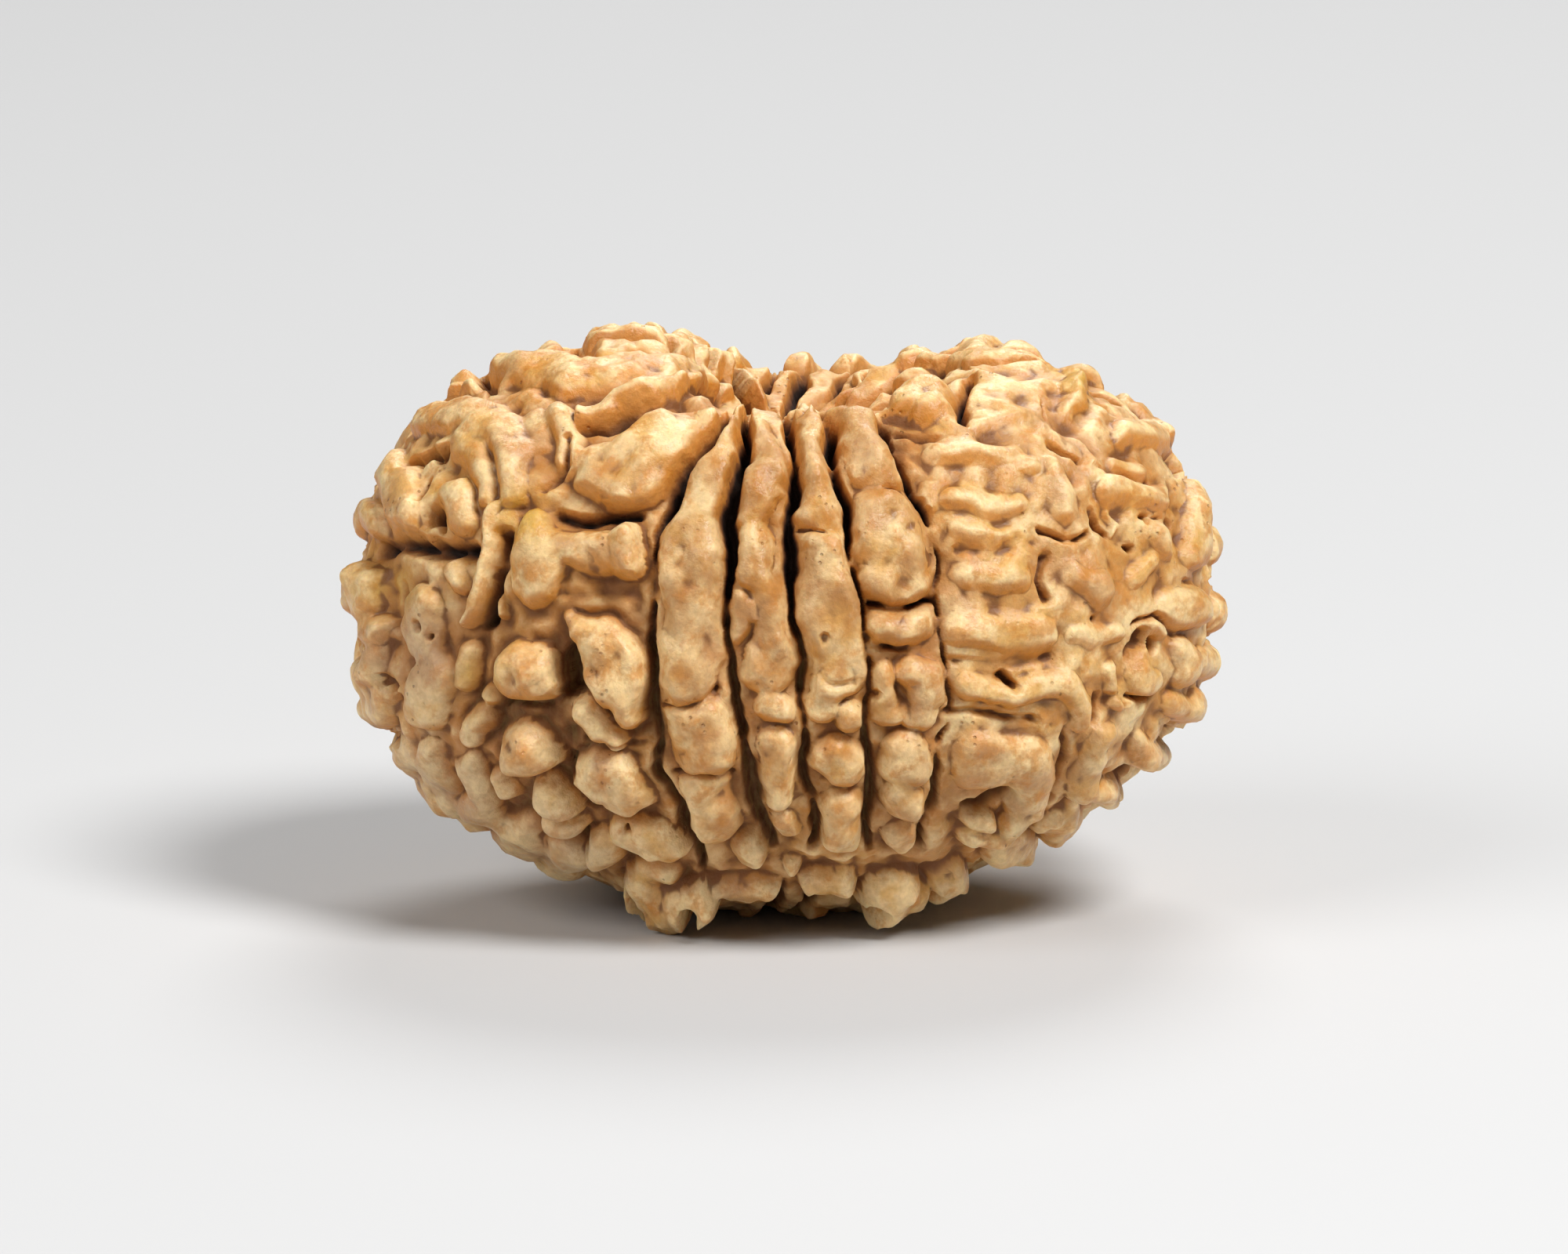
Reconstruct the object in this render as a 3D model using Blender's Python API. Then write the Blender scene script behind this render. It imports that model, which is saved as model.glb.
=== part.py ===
"""A rudraksha seed: one woody stone with many faces, knobbed and furrowed pole to pole, and its bore."""

import math

import bmesh
import bpy
import numpy as np

MM = 0.001

# Driving sizes in millimetres. X is the long side, Y the depth, Z the bore's axis.
HALF_LENGTH = 18.75
HALF_DEPTH = 13.6
RISE = 13.0  # from the widest level up to the domes beside the hole
DROP = 12.4  # from the widest level down to the foot
WIDEST_LEVEL = 13.5
LEAN = 0.45  # how much deeper the seed is at its left end than at its right
ROUND_PLAN = 2.15  # powers of the smooth form: 2 is an ellipsoid, more is fuller
ROUND_TOP = 2.75
ROUND_BASE = 1.95
RELIEF = 1.9  # from the furrow floors' level up to the knobs' crests
WALL = 0.14  # softness of a knob's side
BORE_PLACE = -0.8
BORE_WIDTH = 1.8
FOOT_LEVEL = 1.65  # the lowest knobs are worn flat at this level
SPHERE_STEPS = 8
NODE_FACES = 11400

# The front is drawn as seen from a little above: right of the middle, above the foot, half width
SIGHT_SLOPE = math.radians(12)
SIGHT_DISTANCE = 600.0
SIGHT_AIM = 13.46
CENTRE = np.array([0.0, 0.0, WIDEST_LEVEL])
AIM = np.array([0.0, 0.0, SIGHT_AIM])
TOWARDS_EYE = np.array([0.0, -math.cos(SIGHT_SLOPE), math.sin(SIGHT_SLOPE)])
SIGHT_UP = np.array([0.0, math.sin(SIGHT_SLOPE), math.cos(SIGHT_SLOPE)])
EYE = AIM + SIGHT_DISTANCE * TOWARDS_EYE

# Each knob: height as a share of the relief, then the points of its spine
NARROW_FACES = (
    (1.0, (-2.15, 21.8, 0.25), (-2.4, 21.0, 0.42), (-2.85, 20.0, 0.8), (-3.25, 19.0, 0.95), (-3.75, 18.0, 1.05),
     (-3.95, 17.0, 1.15), (-4.0, 16.0, 1.15), (-4.1, 15.0, 1.1), (-3.9, 14.0, 1.25), (-3.85, 13.0, 1.3),
     (-3.95, 12.0, 1.2), (-4.1, 10.9, 1.0)),
    (1.0, (-3.65, 9.2, 1.3), (-3.4, 8.2, 1.4), (-3.3, 7.7, 1.2)),
    (0.95, (-3.35, 6.2, 1.15), (-3.05, 5.2, 1.2), (-2.8, 4.7, 1.0)),
    (0.8, (-1.6, 3.6, 0.65), (-1.4, 3.2, 0.6)),
    (0.9, (-0.95, 21.6, 0.4), (-0.9, 21.0, 0.6), (-0.8, 20.4, 0.7)),
    (0.97, (-0.8, 19.7, 0.88), (-0.85, 19.2, 0.8)),
    (0.9, (-1.0, 18.5, 0.7), (-1.2, 17.8, 0.65)),
    (0.97, (-1.1, 16.8, 0.9), (-1.2, 15.8, 1.0)),
    (0.85, (-0.75, 14.9, 0.75), (-0.5, 13.8, 0.7), (-0.6, 13.0, 0.65)),
    (0.97, (-0.65, 12.1, 0.95), (-0.7, 11.2, 1.05)),
    (0.9, (-0.4, 9.7, 0.72), (-0.1, 9.7, 0.7)),
    (0.9, (-0.3, 8.3, 0.85), (-0.2, 7.3, 0.8), (0.0, 6.1, 0.6), (0.1, 5.6, 0.5)),
    (0.8, (0.4, 4.95, 0.5), (0.45, 4.5, 0.4)),
    (0.95, (1.25, 22.2, 0.35), (1.3, 21.4, 0.55), (1.35, 20.0, 0.65), (1.5, 19.0, 0.78), (1.55, 18.1, 0.9)),
    (1.0, (1.8, 16.6, 0.95), (1.85, 16.0, 1.0), (1.95, 15.0, 1.05), (2.0, 14.0, 1.15), (2.15, 13.0, 1.2),
     (2.3, 12.0, 1.15), (2.3, 11.2, 1.05)),
    (0.9, (1.95, 10.3, 0.75), (1.8, 9.6, 0.65)),
    (0.95, (2.95, 9.4, 0.65), (2.9, 9.2, 0.65)),
    (0.95, (2.15, 7.5, 0.9), (2.6, 7.3, 0.95)),
    (0.95, (2.45, 5.4, 0.98), (2.45, 4.3, 0.9)),
    (0.95, (3.25, 22.0, 0.75), (3.45, 21.2, 0.85), (3.95, 20.2, 1.0), (4.1, 19.7, 1.0)),
    (1.0, (4.3, 18.2, 1.15), (4.7, 17.0, 1.4), (4.85, 16.0, 1.45), (4.85, 15.4, 1.4)),
    (0.9, (4.2, 13.25, 0.68), (5.8, 13.2, 0.75)),
    (0.95, (5.0, 11.1, 1.0), (5.8, 10.9, 1.05), (5.7, 10.0, 1.05), (5.0, 9.9, 0.95)),
    (0.95, (5.3, 7.9, 1.05), (5.3, 7.2, 1.15)),
    (0.92, (5.05, 5.75, 0.8), (5.2, 5.6, 0.8)),
    (0.9, (5.1, 4.1, 0.75), (5.1, 3.95, 0.7)),
)

LEFT_FACES = (
    (0.97, (-10.8, 24.1, 0.9), (-9.8, 24.2, 0.95), (-9.2, 23.6, 0.9)),
    (1.0, (-7.5, 25.1, 0.4), (-6.4, 25.35, 0.42), (-5.0, 25.15, 0.42), (-3.8, 24.65, 0.42), (-2.6, 24.2, 0.42),
     (-1.5, 23.5, 0.4), (-1.1, 22.9, 0.3)),
    (0.9, (-8.4, 23.9, 0.9), (-6.5, 24.3, 0.9), (-4.6, 24.2, 0.8), (-3.2, 23.8, 0.6)),
    (0.97, (-8.5, 22.35, 0.36), (-7.3, 22.65, 0.4), (-6.0, 23.2, 0.42), (-4.5, 23.5, 0.42), (-3.0, 23.4, 0.38),
     (-2.1, 22.9, 0.3)),
    (1.0, (-7.9, 20.0, 1.2), (-6.7, 19.8, 1.6), (-5.8, 20.6, 1.5), (-4.7, 21.5, 1.2), (-3.5, 22.0, 0.85)),
    (1.0, (-10.6, 17.3, 0.95), (-10.6, 15.8, 1.2), (-10.7, 14.8, 1.0)),
    (0.95, (-10.2, 16.9, 0.85), (-8.7, 16.55, 0.95), (-7.5, 16.3, 0.9)),
    (1.05, (-6.6, 16.9, 0.55), (-6.55, 15.8, 0.62)),
    (1.02, (-8.7, 12.9, 0.6), (-7.6, 12.5, 0.95), (-7.0, 12.2, 0.95), (-6.85, 11.2, 0.85), (-6.65, 10.0, 0.65),
     (-6.5, 9.2, 0.45)),
    (1.0, (-8.0, 12.1, 0.75), (-7.8, 11.2, 0.75), (-7.3, 10.3, 0.6)),
    (0.87, (-8.4, 9.4, 0.75), (-7.9, 8.8, 0.75), (-7.2, 8.3, 0.55)),
    (1.0, (-8.1, 6.7, 0.95), (-7.0, 6.5, 1.15), (-6.7, 6.0, 1.05)),
    (0.9, (-7.8, 3.55, 0.72), (-7.7, 3.4, 0.7)),
    (0.9, (-6.8, 4.1, 0.8), (-5.6, 3.9, 0.9), (-4.9, 3.7, 0.7)),
    (1.06, (-11.2, 11.2, 1.3), (-10.9, 11.1, 1.3)),
    (1.06, (-11.05, 7.95, 1.15), (-10.8, 7.8, 1.15)),
    (0.98, (-9.9, 5.9, 0.82), (-9.7, 5.7, 0.8)),
    (0.85, (-9.7, 4.5, 0.65), (-9.2, 4.5, 0.6)),
    (0.78, (-13.6, 8.4, 0.5), (-13.0, 9.2, 0.55)),
    (0.7, (-12.0, 6.5, 0.45), (-11.7, 5.9, 0.5)),
    (0.75, (-12.0, 4.5, 0.7), (-11.0, 4.3, 0.7)),
    (0.92, (-12.1, 18.5, 0.36), (-12.4, 17.0, 0.32), (-12.85, 15.5, 0.36), (-13.2, 14.5, 0.36),
     (-13.5, 13.6, 0.3)),
    (0.85, (-13.5, 12.3, 0.36), (-13.75, 11.3, 0.4), (-13.75, 10.9, 0.36)),
    (0.78, (-14.1, 15.6, 0.6), (-13.9, 15.2, 0.5)),
    (0.97, (-15.3, 14.1, 0.9), (-15.3, 12.6, 1.15), (-15.2, 11.0, 1.25), (-15.2, 9.7, 1.15)),
    (0.92, (-15.1, 7.6, 0.85), (-14.7, 6.4, 0.9), (-14.2, 5.7, 0.7)),
    (0.78, (-13.5, 7.2, 0.65), (-13.1, 6.2, 0.75), (-12.9, 5.5, 0.6)),
    (1.12, (-17.6, 15.2, 0.8), (-17.7, 14.2, 0.85)),
    (1.05, (-17.4, 13.1, 0.7), (-17.0, 12.8, 0.6)),
    (1.0, (-17.2, 12.0, 0.5), (-17.3, 11.2, 0.5)),
    (1.0, (-16.9, 10.3, 0.55), (-16.9, 9.6, 0.7)),
    (0.92, (-13.9, 23.35, 0.42), (-13.3, 23.4, 0.42)),
    (0.97, (-15.2, 21.9, 0.75), (-14.2, 22.1, 0.9), (-13.4, 22.5, 0.85)),
    (0.97, (-12.9, 22.3, 1.0), (-12.0, 21.7, 1.0), (-11.5, 20.7, 0.9), (-11.4, 19.6, 0.8), (-11.4, 18.9, 0.6)),
    (0.87, (-13.4, 21.2, 1.0), (-12.9, 19.8, 0.8), (-12.6, 18.9, 0.5)),
    (0.95, (-16.6, 20.2, 0.7), (-16.4, 19.2, 0.95), (-16.2, 18.1, 0.85)),
    (1.02, (-17.5, 18.0, 0.7), (-17.4, 17.6, 0.65)),
    (0.88, (-15.7, 18.3, 0.5), (-15.8, 17.6, 0.5)),
    (0.93, (-14.0, 18.7, 0.8), (-13.7, 17.8, 0.85)),
    (0.85, (-9.6, 22.2, 0.7), (-9.2, 21.2, 0.8), (-9.2, 20.3, 0.7)),
    (0.78, (-10.7, 22.1, 0.6), (-10.4, 20.9, 0.6)),
)

RIGHT_FACES = (
    (1.1, (5.5, 23.0, 0.9), (6.35, 23.1, 1.0), (6.35, 22.7, 1.0)),
    (0.88, (8.9, 22.7, 0.7), (9.7, 22.2, 0.7)),
    (0.9, (0.6, 22.3, 0.2), (2.3, 22.75, 0.28), (3.5, 23.3, 0.33), (4.6, 23.75, 0.36)),
    (0.97, (8.1, 23.8, 0.5), (9.3, 23.5, 0.55), (10.4, 22.9, 0.5), (10.9, 22.3, 0.4)),
    (0.95, (3.4, 23.6, 0.4), (4.8, 24.2, 0.55), (6.4, 24.5, 0.62), (8.2, 24.7, 0.65), (9.6, 24.6, 0.65),
     (10.8, 24.2, 0.6)),
    (1.0, (12.4, 24.1, 0.75), (12.3, 23.0, 0.8), (12.1, 22.3, 0.6)),
    (0.97, (14.6, 22.9, 0.42), (15.3, 22.7, 0.45)),
    (1.0, (14.5, 21.3, 0.72), (15.5, 21.3, 0.85), (15.8, 21.1, 0.75)),
    (0.95, (11.9, 21.5, 0.22), (12.6, 21.0, 0.26), (13.0, 20.2, 0.24)),
    (0.9, (14.2, 20.05, 0.5), (15.1, 19.9, 0.5)),
    (0.92, (6.8, 20.6, 0.8), (8.3, 20.6, 1.05), (9.8, 20.5, 1.0), (10.5, 20.1, 0.7)),
    (0.92, (7.2, 18.7, 0.85), (8.7, 18.5, 1.05), (10.0, 18.6, 0.9)),
    (0.87, (7.5, 17.4, 0.6), (9.0, 17.2, 0.62), (10.0, 17.2, 0.5)),
    (0.96, (11.3, 20.1, 0.6), (11.8, 19.0, 0.9), (12.0, 18.1, 0.82)),
    (0.97, (14.0, 18.9, 0.65), (15.2, 18.8, 0.72), (16.1, 18.7, 0.68)),
    (0.87, (14.0, 18.2, 0.2), (14.4, 17.8, 0.24), (14.2, 17.3, 0.2)),
    (1.0, (17.4, 18.7, 0.75), (17.6, 17.4, 0.8), (17.5, 16.3, 0.78)),
    (0.9, (15.9, 17.0, 0.6), (16.1, 16.5, 0.55)),
    (0.93, (7.7, 15.4, 0.85), (9.3, 15.3, 1.1), (10.0, 15.3, 0.95)),
    (0.9, (7.6, 13.1, 0.85), (9.3, 13.0, 0.95), (10.9, 13.1, 0.9)),
    (0.98, (12.4, 15.5, 0.8), (13.2, 15.0, 0.88), (13.4, 14.6, 0.82)),
    (0.9, (14.9, 15.3, 0.55), (15.6, 15.8, 0.55)),
    (1.03, (16.6, 14.1, 0.9), (17.6, 14.1, 0.85)),
    (0.87, (12.2, 12.8, 0.45), (13.2, 12.8, 0.5), (14.3, 12.85, 0.45)),
    (0.95, (16.9, 12.4, 0.6), (17.2, 11.4, 0.7), (17.0, 11.0, 0.6)),
    (0.97, (7.9, 10.65, 0.65), (9.5, 10.55, 0.72), (11.0, 10.7, 0.75), (12.2, 10.6, 0.75), (12.7, 9.9, 0.6),
     (12.65, 9.4, 0.5)),
    (0.9, (13.9, 11.4, 0.45), (13.95, 10.6, 0.45)),
    (0.88, (14.1, 9.9, 0.36), (14.2, 9.8, 0.36)),
    (0.93, (15.2, 11.2, 0.68), (15.7, 10.9, 0.66)),
    (1.0, (16.7, 9.9, 0.62), (17.0, 9.6, 0.62)),
    (1.0, (15.2, 8.4, 0.52), (15.2, 7.7, 0.58)),
    (0.98, (8.2, 7.7, 1.0), (9.5, 7.7, 1.15), (10.4, 7.5, 1.15), (10.7, 6.5, 1.0), (10.4, 5.6, 0.8),
     (9.6, 4.9, 0.55)),
    (0.95, (8.0, 6.9, 0.95), (8.9, 6.9, 0.9)),
    (0.9, (7.5, 4.7, 0.5), (8.4, 4.5, 0.5)),
    (0.95, (13.6, 8.6, 0.55), (13.1, 7.8, 0.7), (12.9, 6.9, 0.75), (12.7, 6.2, 0.7)),
    (0.82, (11.6, 4.8, 0.5), (12.3, 5.0, 0.5)),
)

BACK_RIM = (
    (0.62, (0.3, 22.9, 0.9), (1.3, 23.1, 0.9)),
    (0.6, (-0.6, 23.0, 0.6), (-0.7, 23.4, 0.6)),
    (0.6, (2.8, 23.2, 0.8), (3.7, 23.4, 0.8)),
)

# Knobs that stand on the outline and run back over it: height share, right, above and half width
RIM_KNOBS = (
    (0.95, -13.7, 23.3, 0.6),
    (0.95, -11.2, 24.0, 1.0),
    (0.92, -9.6, 24.3, 0.9),
    (0.97, -7.2, 25.0, 0.95),
    (0.97, -5.6, 25.1, 1.15),
    (0.93, -4.0, 24.7, 1.1),
    (0.88, -2.5, 24.2, 0.9),
    (1.0, -18.2, 14.8, 1.0),
    (0.97, -18.0, 17.8, 0.95),
    (0.95, -17.3, 11.0, 0.95),
    (1.0, -17.1, 9.7, 0.95),
    (0.85, -15.9, 7.6, 1.2),
    (0.9, -15.0, 6.0, 1.15),
    (0.8, -13.0, 5.2, 1.1),
    (0.8, -11.2, 3.9, 1.2),
    (0.8, -9.2, 3.2, 1.1),
    (0.85, 5.6, 24.2, 0.9),
    (0.95, 8.4, 25.0, 1.25),
    (0.95, 10.2, 24.8, 1.0),
    (1.0, 12.9, 23.9, 0.85),
    (1.02, 15.4, 22.3, 0.7),
    (1.05, 16.0, 21.4, 0.75),
    (0.98, 17.4, 18.4, 1.0),
    (0.98, 18.1, 16.7, 0.95),
    (1.02, 18.3, 13.9, 0.9),
    (0.98, 17.7, 11.6, 0.85),
    (1.02, 17.3, 9.9, 0.7),
    (1.05, 15.4, 7.8, 0.65),
    (0.98, 13.5, 6.2, 0.65),
    (0.9, 11.6, 4.7, 0.9),
    (0.9, 9.6, 3.8, 0.9),
)

# Notches of the outline: the height share at their floor, right, above and half width
RIM_NOTCHES = (
    (0.35, -12.4, 23.4, 0.32),
    (0.4, -8.4, 24.6, 0.26),
    (0.5, -18.3, 16.4, 0.3),
    (0.55, -17.9, 12.5, 0.3),
    (0.45, -16.5, 8.4, 0.3),
    (0.55, -13.9, 5.0, 0.3),
    (0.3, 14.0, 23.2, 0.35),
    (0.05, 16.6, 20.1, 0.42),
    (0.45, 18.2, 15.2, 0.22),
    (0.45, 18.2, 12.7, 0.25),
    (0.1, 16.4, 8.6, 0.4),
    (0.1, 14.4, 6.9, 0.4),
)

FOOT_KNOBS = (
    (0.8, (-6.2, 2.4, 0.5), (-5.0, 2.4, 0.5)),
    (1.3, (-6.1, 1.9, 0.6), (-5.2, 1.4, 0.8), (-4.4, 1.3, 0.8), (-3.4, 1.6, 0.55)),
    (0.8, (-3.2, 1.85, 0.4), (-1.5, 1.75, 0.45), (-0.4, 1.8, 0.35)),
    (0.7, (0.4, 2.9, 0.4), (0.45, 2.7, 0.4)),
    (0.9, (1.4, 2.1, 0.6), (2.5, 2.2, 0.6)),
    (1.25, (4.1, 1.7, 0.8), (5.2, 2.0, 0.75)),
    (1.1, (6.6, 2.2, 0.7), (7.3, 2.5, 0.65)),
)

# The furrows between the narrow faces at the front, from the hole down: right, above and half width
FRONT_FURROWS = (
    ((-2.2, 22.4, 0.24), (-2.7, 21.6, 0.28), (-3.8, 20.4, 0.34), (-4.7, 19.0, 0.3), (-5.4, 17.3, 0.11),
     (-5.6, 15.0, 0.1), (-5.65, 13.5, 0.16), (-5.65, 12.0, 0.22), (-5.5, 9.5, 0.22), (-5.4, 8.5, 0.15),
     (-5.25, 7.0, 0.2), (-4.7, 5.0, 0.26), (-3.8, 3.5, 0.24), (-3.5, 2.4, 0.2)),
    ((-1.5, 21.3, 0.22), (-1.9, 20.0, 0.28), (-2.2, 18.2, 0.34), (-2.45, 16.0, 0.34), (-2.45, 14.9, 0.2),
     (-2.45, 14.0, 0.15), (-2.4, 12.5, 0.17), (-2.1, 10.5, 0.22), (-1.6, 8.0, 0.2), (-1.4, 6.5, 0.26),
     (-1.0, 4.8, 0.3), (-0.5, 3.5, 0.24)),
    ((0.3, 22.0, 0.2), (0.4, 20.3, 0.24), (0.4, 18.5, 0.24), (0.45, 15.5, 0.22), (0.5, 13.5, 0.2),
     (0.8, 10.5, 0.17), (0.95, 8.0, 0.2), (0.9, 6.5, 0.22), (1.2, 5.5, 0.2), (1.4, 3.6, 0.18)),
    ((1.95, 22.0, 0.24), (2.35, 20.0, 0.28), (2.75, 18.0, 0.22), (3.15, 16.0, 0.14), (3.25, 14.5, 0.14),
     (3.55, 12.7, 0.13), (3.6, 10.0, 0.12), (3.6, 8.4, 0.15), (3.75, 6.5, 0.24), (3.8, 5.0, 0.22),
     (3.6, 3.4, 0.2)),
    ((4.3, 22.0, 0.2), (4.6, 21.0, 0.18), (5.3, 19.5, 0.18), (5.75, 18.5, 0.2), (6.5, 16.6, 0.1),
     (6.55, 14.5, 0.09), (6.9, 12.0, 0.09), (7.05, 10.0, 0.09), (6.85, 8.0, 0.1), (6.5, 6.5, 0.12),
     (6.3, 5.0, 0.2), (6.0, 3.6, 0.2)),
)
FAR_FURROW_WIDTHS = (0.24, 0.36)
LEAST_FURROW_WIDTH = 0.2
FULL_FURROW_WIDTH = 0.24  # a narrower furrow is also shallower
FURROW_DEPTH = 0.2

# Turns of the furrows round the bore in degrees, 0 at the right end and 90 at the back
FURROW_TURNS = (
    -158, -140, -122, -107, -89, -78, -67, -55, -30, -4, 20, 41, 58, 70, 80, 90, 101, 113, 131, 150, 173,
)
FRONT_TURNS = (-170, -10)
POLE_RISE = 76
FOOT_RISE = -52
TAPER_RISE = 52  # above this the faces sink towards the bore
KNOB_SPREAD = 0.2  # how much wider than drawn the knobs stand, so that their flanks meet
MOUTH_REACH = 4.5  # round the bore the furrows are shallow
FUSING = 7  # how softly neighbouring knobs run into each other: less is softer
GROUND = 0.48  # the share of the relief that stands between the knobs
RIGHT_RISE = 0.06  # how much more of it stands at the right
MERGED_RISE = 0.2  # and in the broad masses
SCATTERED_DROP = 0.1  # how much less stands low on the left, where the knobs are apart
NARROW_GROUND = 0.6  # what stands on the narrow faces at the front
MOUTH_RISE = 0.15  # how much more stands round the bore

# Where knobs run together into broad masses: strength, left, right, low, high and the edge's fade
MERGED_ZONES = (
    (1.0, 5.0, 40.0, 6.5, 40.0, 3.0),
    (1.0, -40.0, -7.5, 15.5, 40.0, 3.0),
    (0.7, -40.0, -13.0, -40.0, 40.0, 2.0),
    (0.9, -40.0, -8.0, -40.0, 6.0, 2.0),
)
SCATTERED_ZONE = (-14.5, -5.0, 4.0, 15.0, 2.0)


def eased(share):
    share = np.clip(share, 0, 1)
    return share * share * (3 - 2 * share)


def fullness(places):
    """Under 1 inside the smooth form, 1 on its skin: two domes beside the hole, a swollen base and its dish."""
    x = places[:, 0]
    y = places[:, 1]
    z = places[:, 2] - WIDEST_LEVEL
    from_bore = x - BORE_PLACE
    across = np.where(from_bore < 0, (from_bore / 2.8) ** 2, np.abs(from_bore / 6.8) ** 3)
    reach_y = np.where(y < 0, 5.5, 7.5)
    saddle = 4.3 * np.exp(-across - (y / reach_y) ** 2)
    dish = 1.2 * np.exp(-((from_bore / 3.6) ** 2) - (y / 3.2) ** 2)
    swell = 0.9 * np.exp(-(((x - 0.6) / 7.5) ** 4))
    away = eased(np.abs(z) / 6.0)
    above = z > 0
    z = np.where(above, z + saddle * away, z + (swell - dish) * away)
    power = np.where(above, ROUND_TOP, ROUND_BASE)
    half_height = np.where(above, RISE, DROP - LEAN * np.tanh(x / 5))
    plan = np.abs(x / HALF_LENGTH) ** ROUND_PLAN + np.abs(y / HALF_DEPTH) ** ROUND_PLAN
    return (plan ** (power / ROUND_PLAN) + np.abs(z / half_height) ** power) ** (1 / power)


def skin_places(directions):
    """Where a ray from the centre in each direction leaves the smooth form."""
    directions = directions / np.linalg.norm(directions, axis=1, keepdims=True)
    reach = np.full(len(directions), HALF_DEPTH)
    for _ in range(14):
        reach = reach / fullness(CENTRE + directions * reach[:, None])
    return CENTRE + directions * reach[:, None]


def outward(places):
    """The smooth form's normals."""
    step = 0.02
    slope = np.empty_like(places)
    for axis in range(3):
        aside = np.zeros(3)
        aside[axis] = step
        slope[:, axis] = fullness(places + aside) - fullness(places - aside)
    return slope / np.linalg.norm(slope, axis=1, keepdims=True)


def first_hit(right, above):
    """Where the eye's ray through a place of the drawing meets the skin, or the outline's nearest place."""
    target = AIM + np.array([right, 0, 0]) + (above - SIGHT_AIM * math.cos(SIGHT_SLOPE)) * SIGHT_UP
    ray = (target - EYE) / np.linalg.norm(target - EYE)
    line = EYE + (SIGHT_DISTANCE + np.linspace(-24, 20, 441))[:, None] * ray
    full = fullness(line)
    inside = np.nonzero(full < 1)[0]
    if not len(inside):
        return skin_places((line[np.argmin(full)] - CENTRE)[None])[0]
    after = inside[0]
    share = (full[after - 1] - 1) / (full[after - 1] - full[after])
    return line[after - 1] + share * (line[after] - line[after - 1])


def drawn_place(right, above):
    """The skin place under a drawn one, moved out so that the knob and its visible side fill what is drawn."""
    normal = outward(first_hit(right, above)[None])[0]
    lift = 0.3 * RELIEF
    return first_hit(right + lift * normal[0], above + lift * normal @ SIGHT_UP)


def ripple(places, length, seed):
    """A smooth field of about unit size, summed from waves of about one length in drawn directions."""
    draw = np.random.default_rng(seed)
    count = 24
    waves = draw.normal(size=(count, 3))
    waves /= np.linalg.norm(waves, axis=1, keepdims=True)
    waves *= (2 * math.pi / (length * draw.uniform(0.75, 1.45, count)))[:, None]
    starts = draw.uniform(0, 2 * math.pi, count)
    total = np.zeros(len(places))
    for wave, start in zip(waves, starts):
        total += np.sin(places @ wave + start)
    return total * math.sqrt(2 / count)


def squeezed(places, depth_share):
    """Shortens what lies along the line of sight, so that a knob seen aslant runs back over the curve."""
    return places - (1 - depth_share) * (places @ TOWARDS_EYE)[:, None] * TOWARDS_EYE


def spine_gaps(places, spine, widths):
    """How far each place is from a knob's spine: over its half width, and in millimetres past its edge."""
    share = np.full(len(places), 1e9)
    past_edge = np.full(len(places), 1e9)
    for start, end, from_width, to_width in zip(spine, spine[1:], widths, widths[1:]):
        along = end - start
        part = np.clip((places - start) @ along / max(along @ along, 1e-9), 0, 1)
        gap = np.linalg.norm(places - start - part[:, None] * along, axis=1)
        width = from_width + part * (to_width - from_width)
        share = np.minimum(share, gap / width)
        past_edge = np.minimum(past_edge, gap - width)
    return share, past_edge


def over_the_rim(right, above):
    """A short line on the skin that crosses the outline at a drawn place and runs on behind it."""
    start = drawn_place(right, above)
    behind = (-0.5, 1.0, 2.5, 4.0)
    return np.array([skin_places((start - CENTRE - back * TOWARDS_EYE)[None])[0] for back in behind])


def front_knobs():
    """The knobs drawn by eye, laid on the skin: height, spine, half widths and depth share."""
    knobs = []
    for group in (NARROW_FACES, LEFT_FACES, RIGHT_FACES, BACK_RIM, FOOT_KNOBS):
        for height, *points in group:
            spine = np.array([drawn_place(right, above) for right, above, _ in points])
            widths = np.array([width for _, _, width in points])
            facing = float(np.mean(outward(spine) @ TOWARDS_EYE))
            knobs.append((height, spine, widths, min(max(facing, 0.35), 1.0)))
    for height, right, above, width in RIM_KNOBS:
        spine = over_the_rim(right, above)
        knobs.append((height, spine, np.full(len(spine), width), 1.0))
    return knobs


def ridge_ends():
    """The tops of the narrow front faces, which run on over the rim and sink into the bore."""
    tops = [drawn_place(*line[0][:2]) for line in FRONT_FURROWS]
    ends = []
    for left, right in zip(tops, tops[1:]):
        half = 0.42 * np.linalg.norm(left - right)
        middle = (left + right) / 2
        for start, end, height in ((0.0, 0.2, 0.8), (0.4, 0.75, 0.6)):
            spine = np.array([towards_bore(middle, share) for share in (start, end)])
            widths = half * np.array([1.1 - start, 1.1 - end])
            ends.append((height, spine, widths, 1.0))
    return ends


def ring_place(turn, rise):
    """The skin place at a turn round the bore and a rise above the widest level, both in degrees."""
    turn = math.radians(turn)
    rise = math.radians(rise)
    aside = BORE_PLACE * math.sin(rise) ** 2
    direction = np.array([[
        math.cos(turn) * math.cos(rise) * HALF_LENGTH + aside,
        math.sin(turn) * math.cos(rise) * HALF_DEPTH,
        math.sin(rise) * RISE,
    ]])
    return skin_places(direction)[0]


def towards_bore(place, share):
    """The skin place this share of the way from a place at the top to the bore's mouth."""
    mouth = skin_places(np.array([[BORE_PLACE, 0, RISE]]))[0]
    return skin_places(((1 - share) * (place - CENTRE) + share * (mouth - CENTRE))[None])[0]


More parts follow.
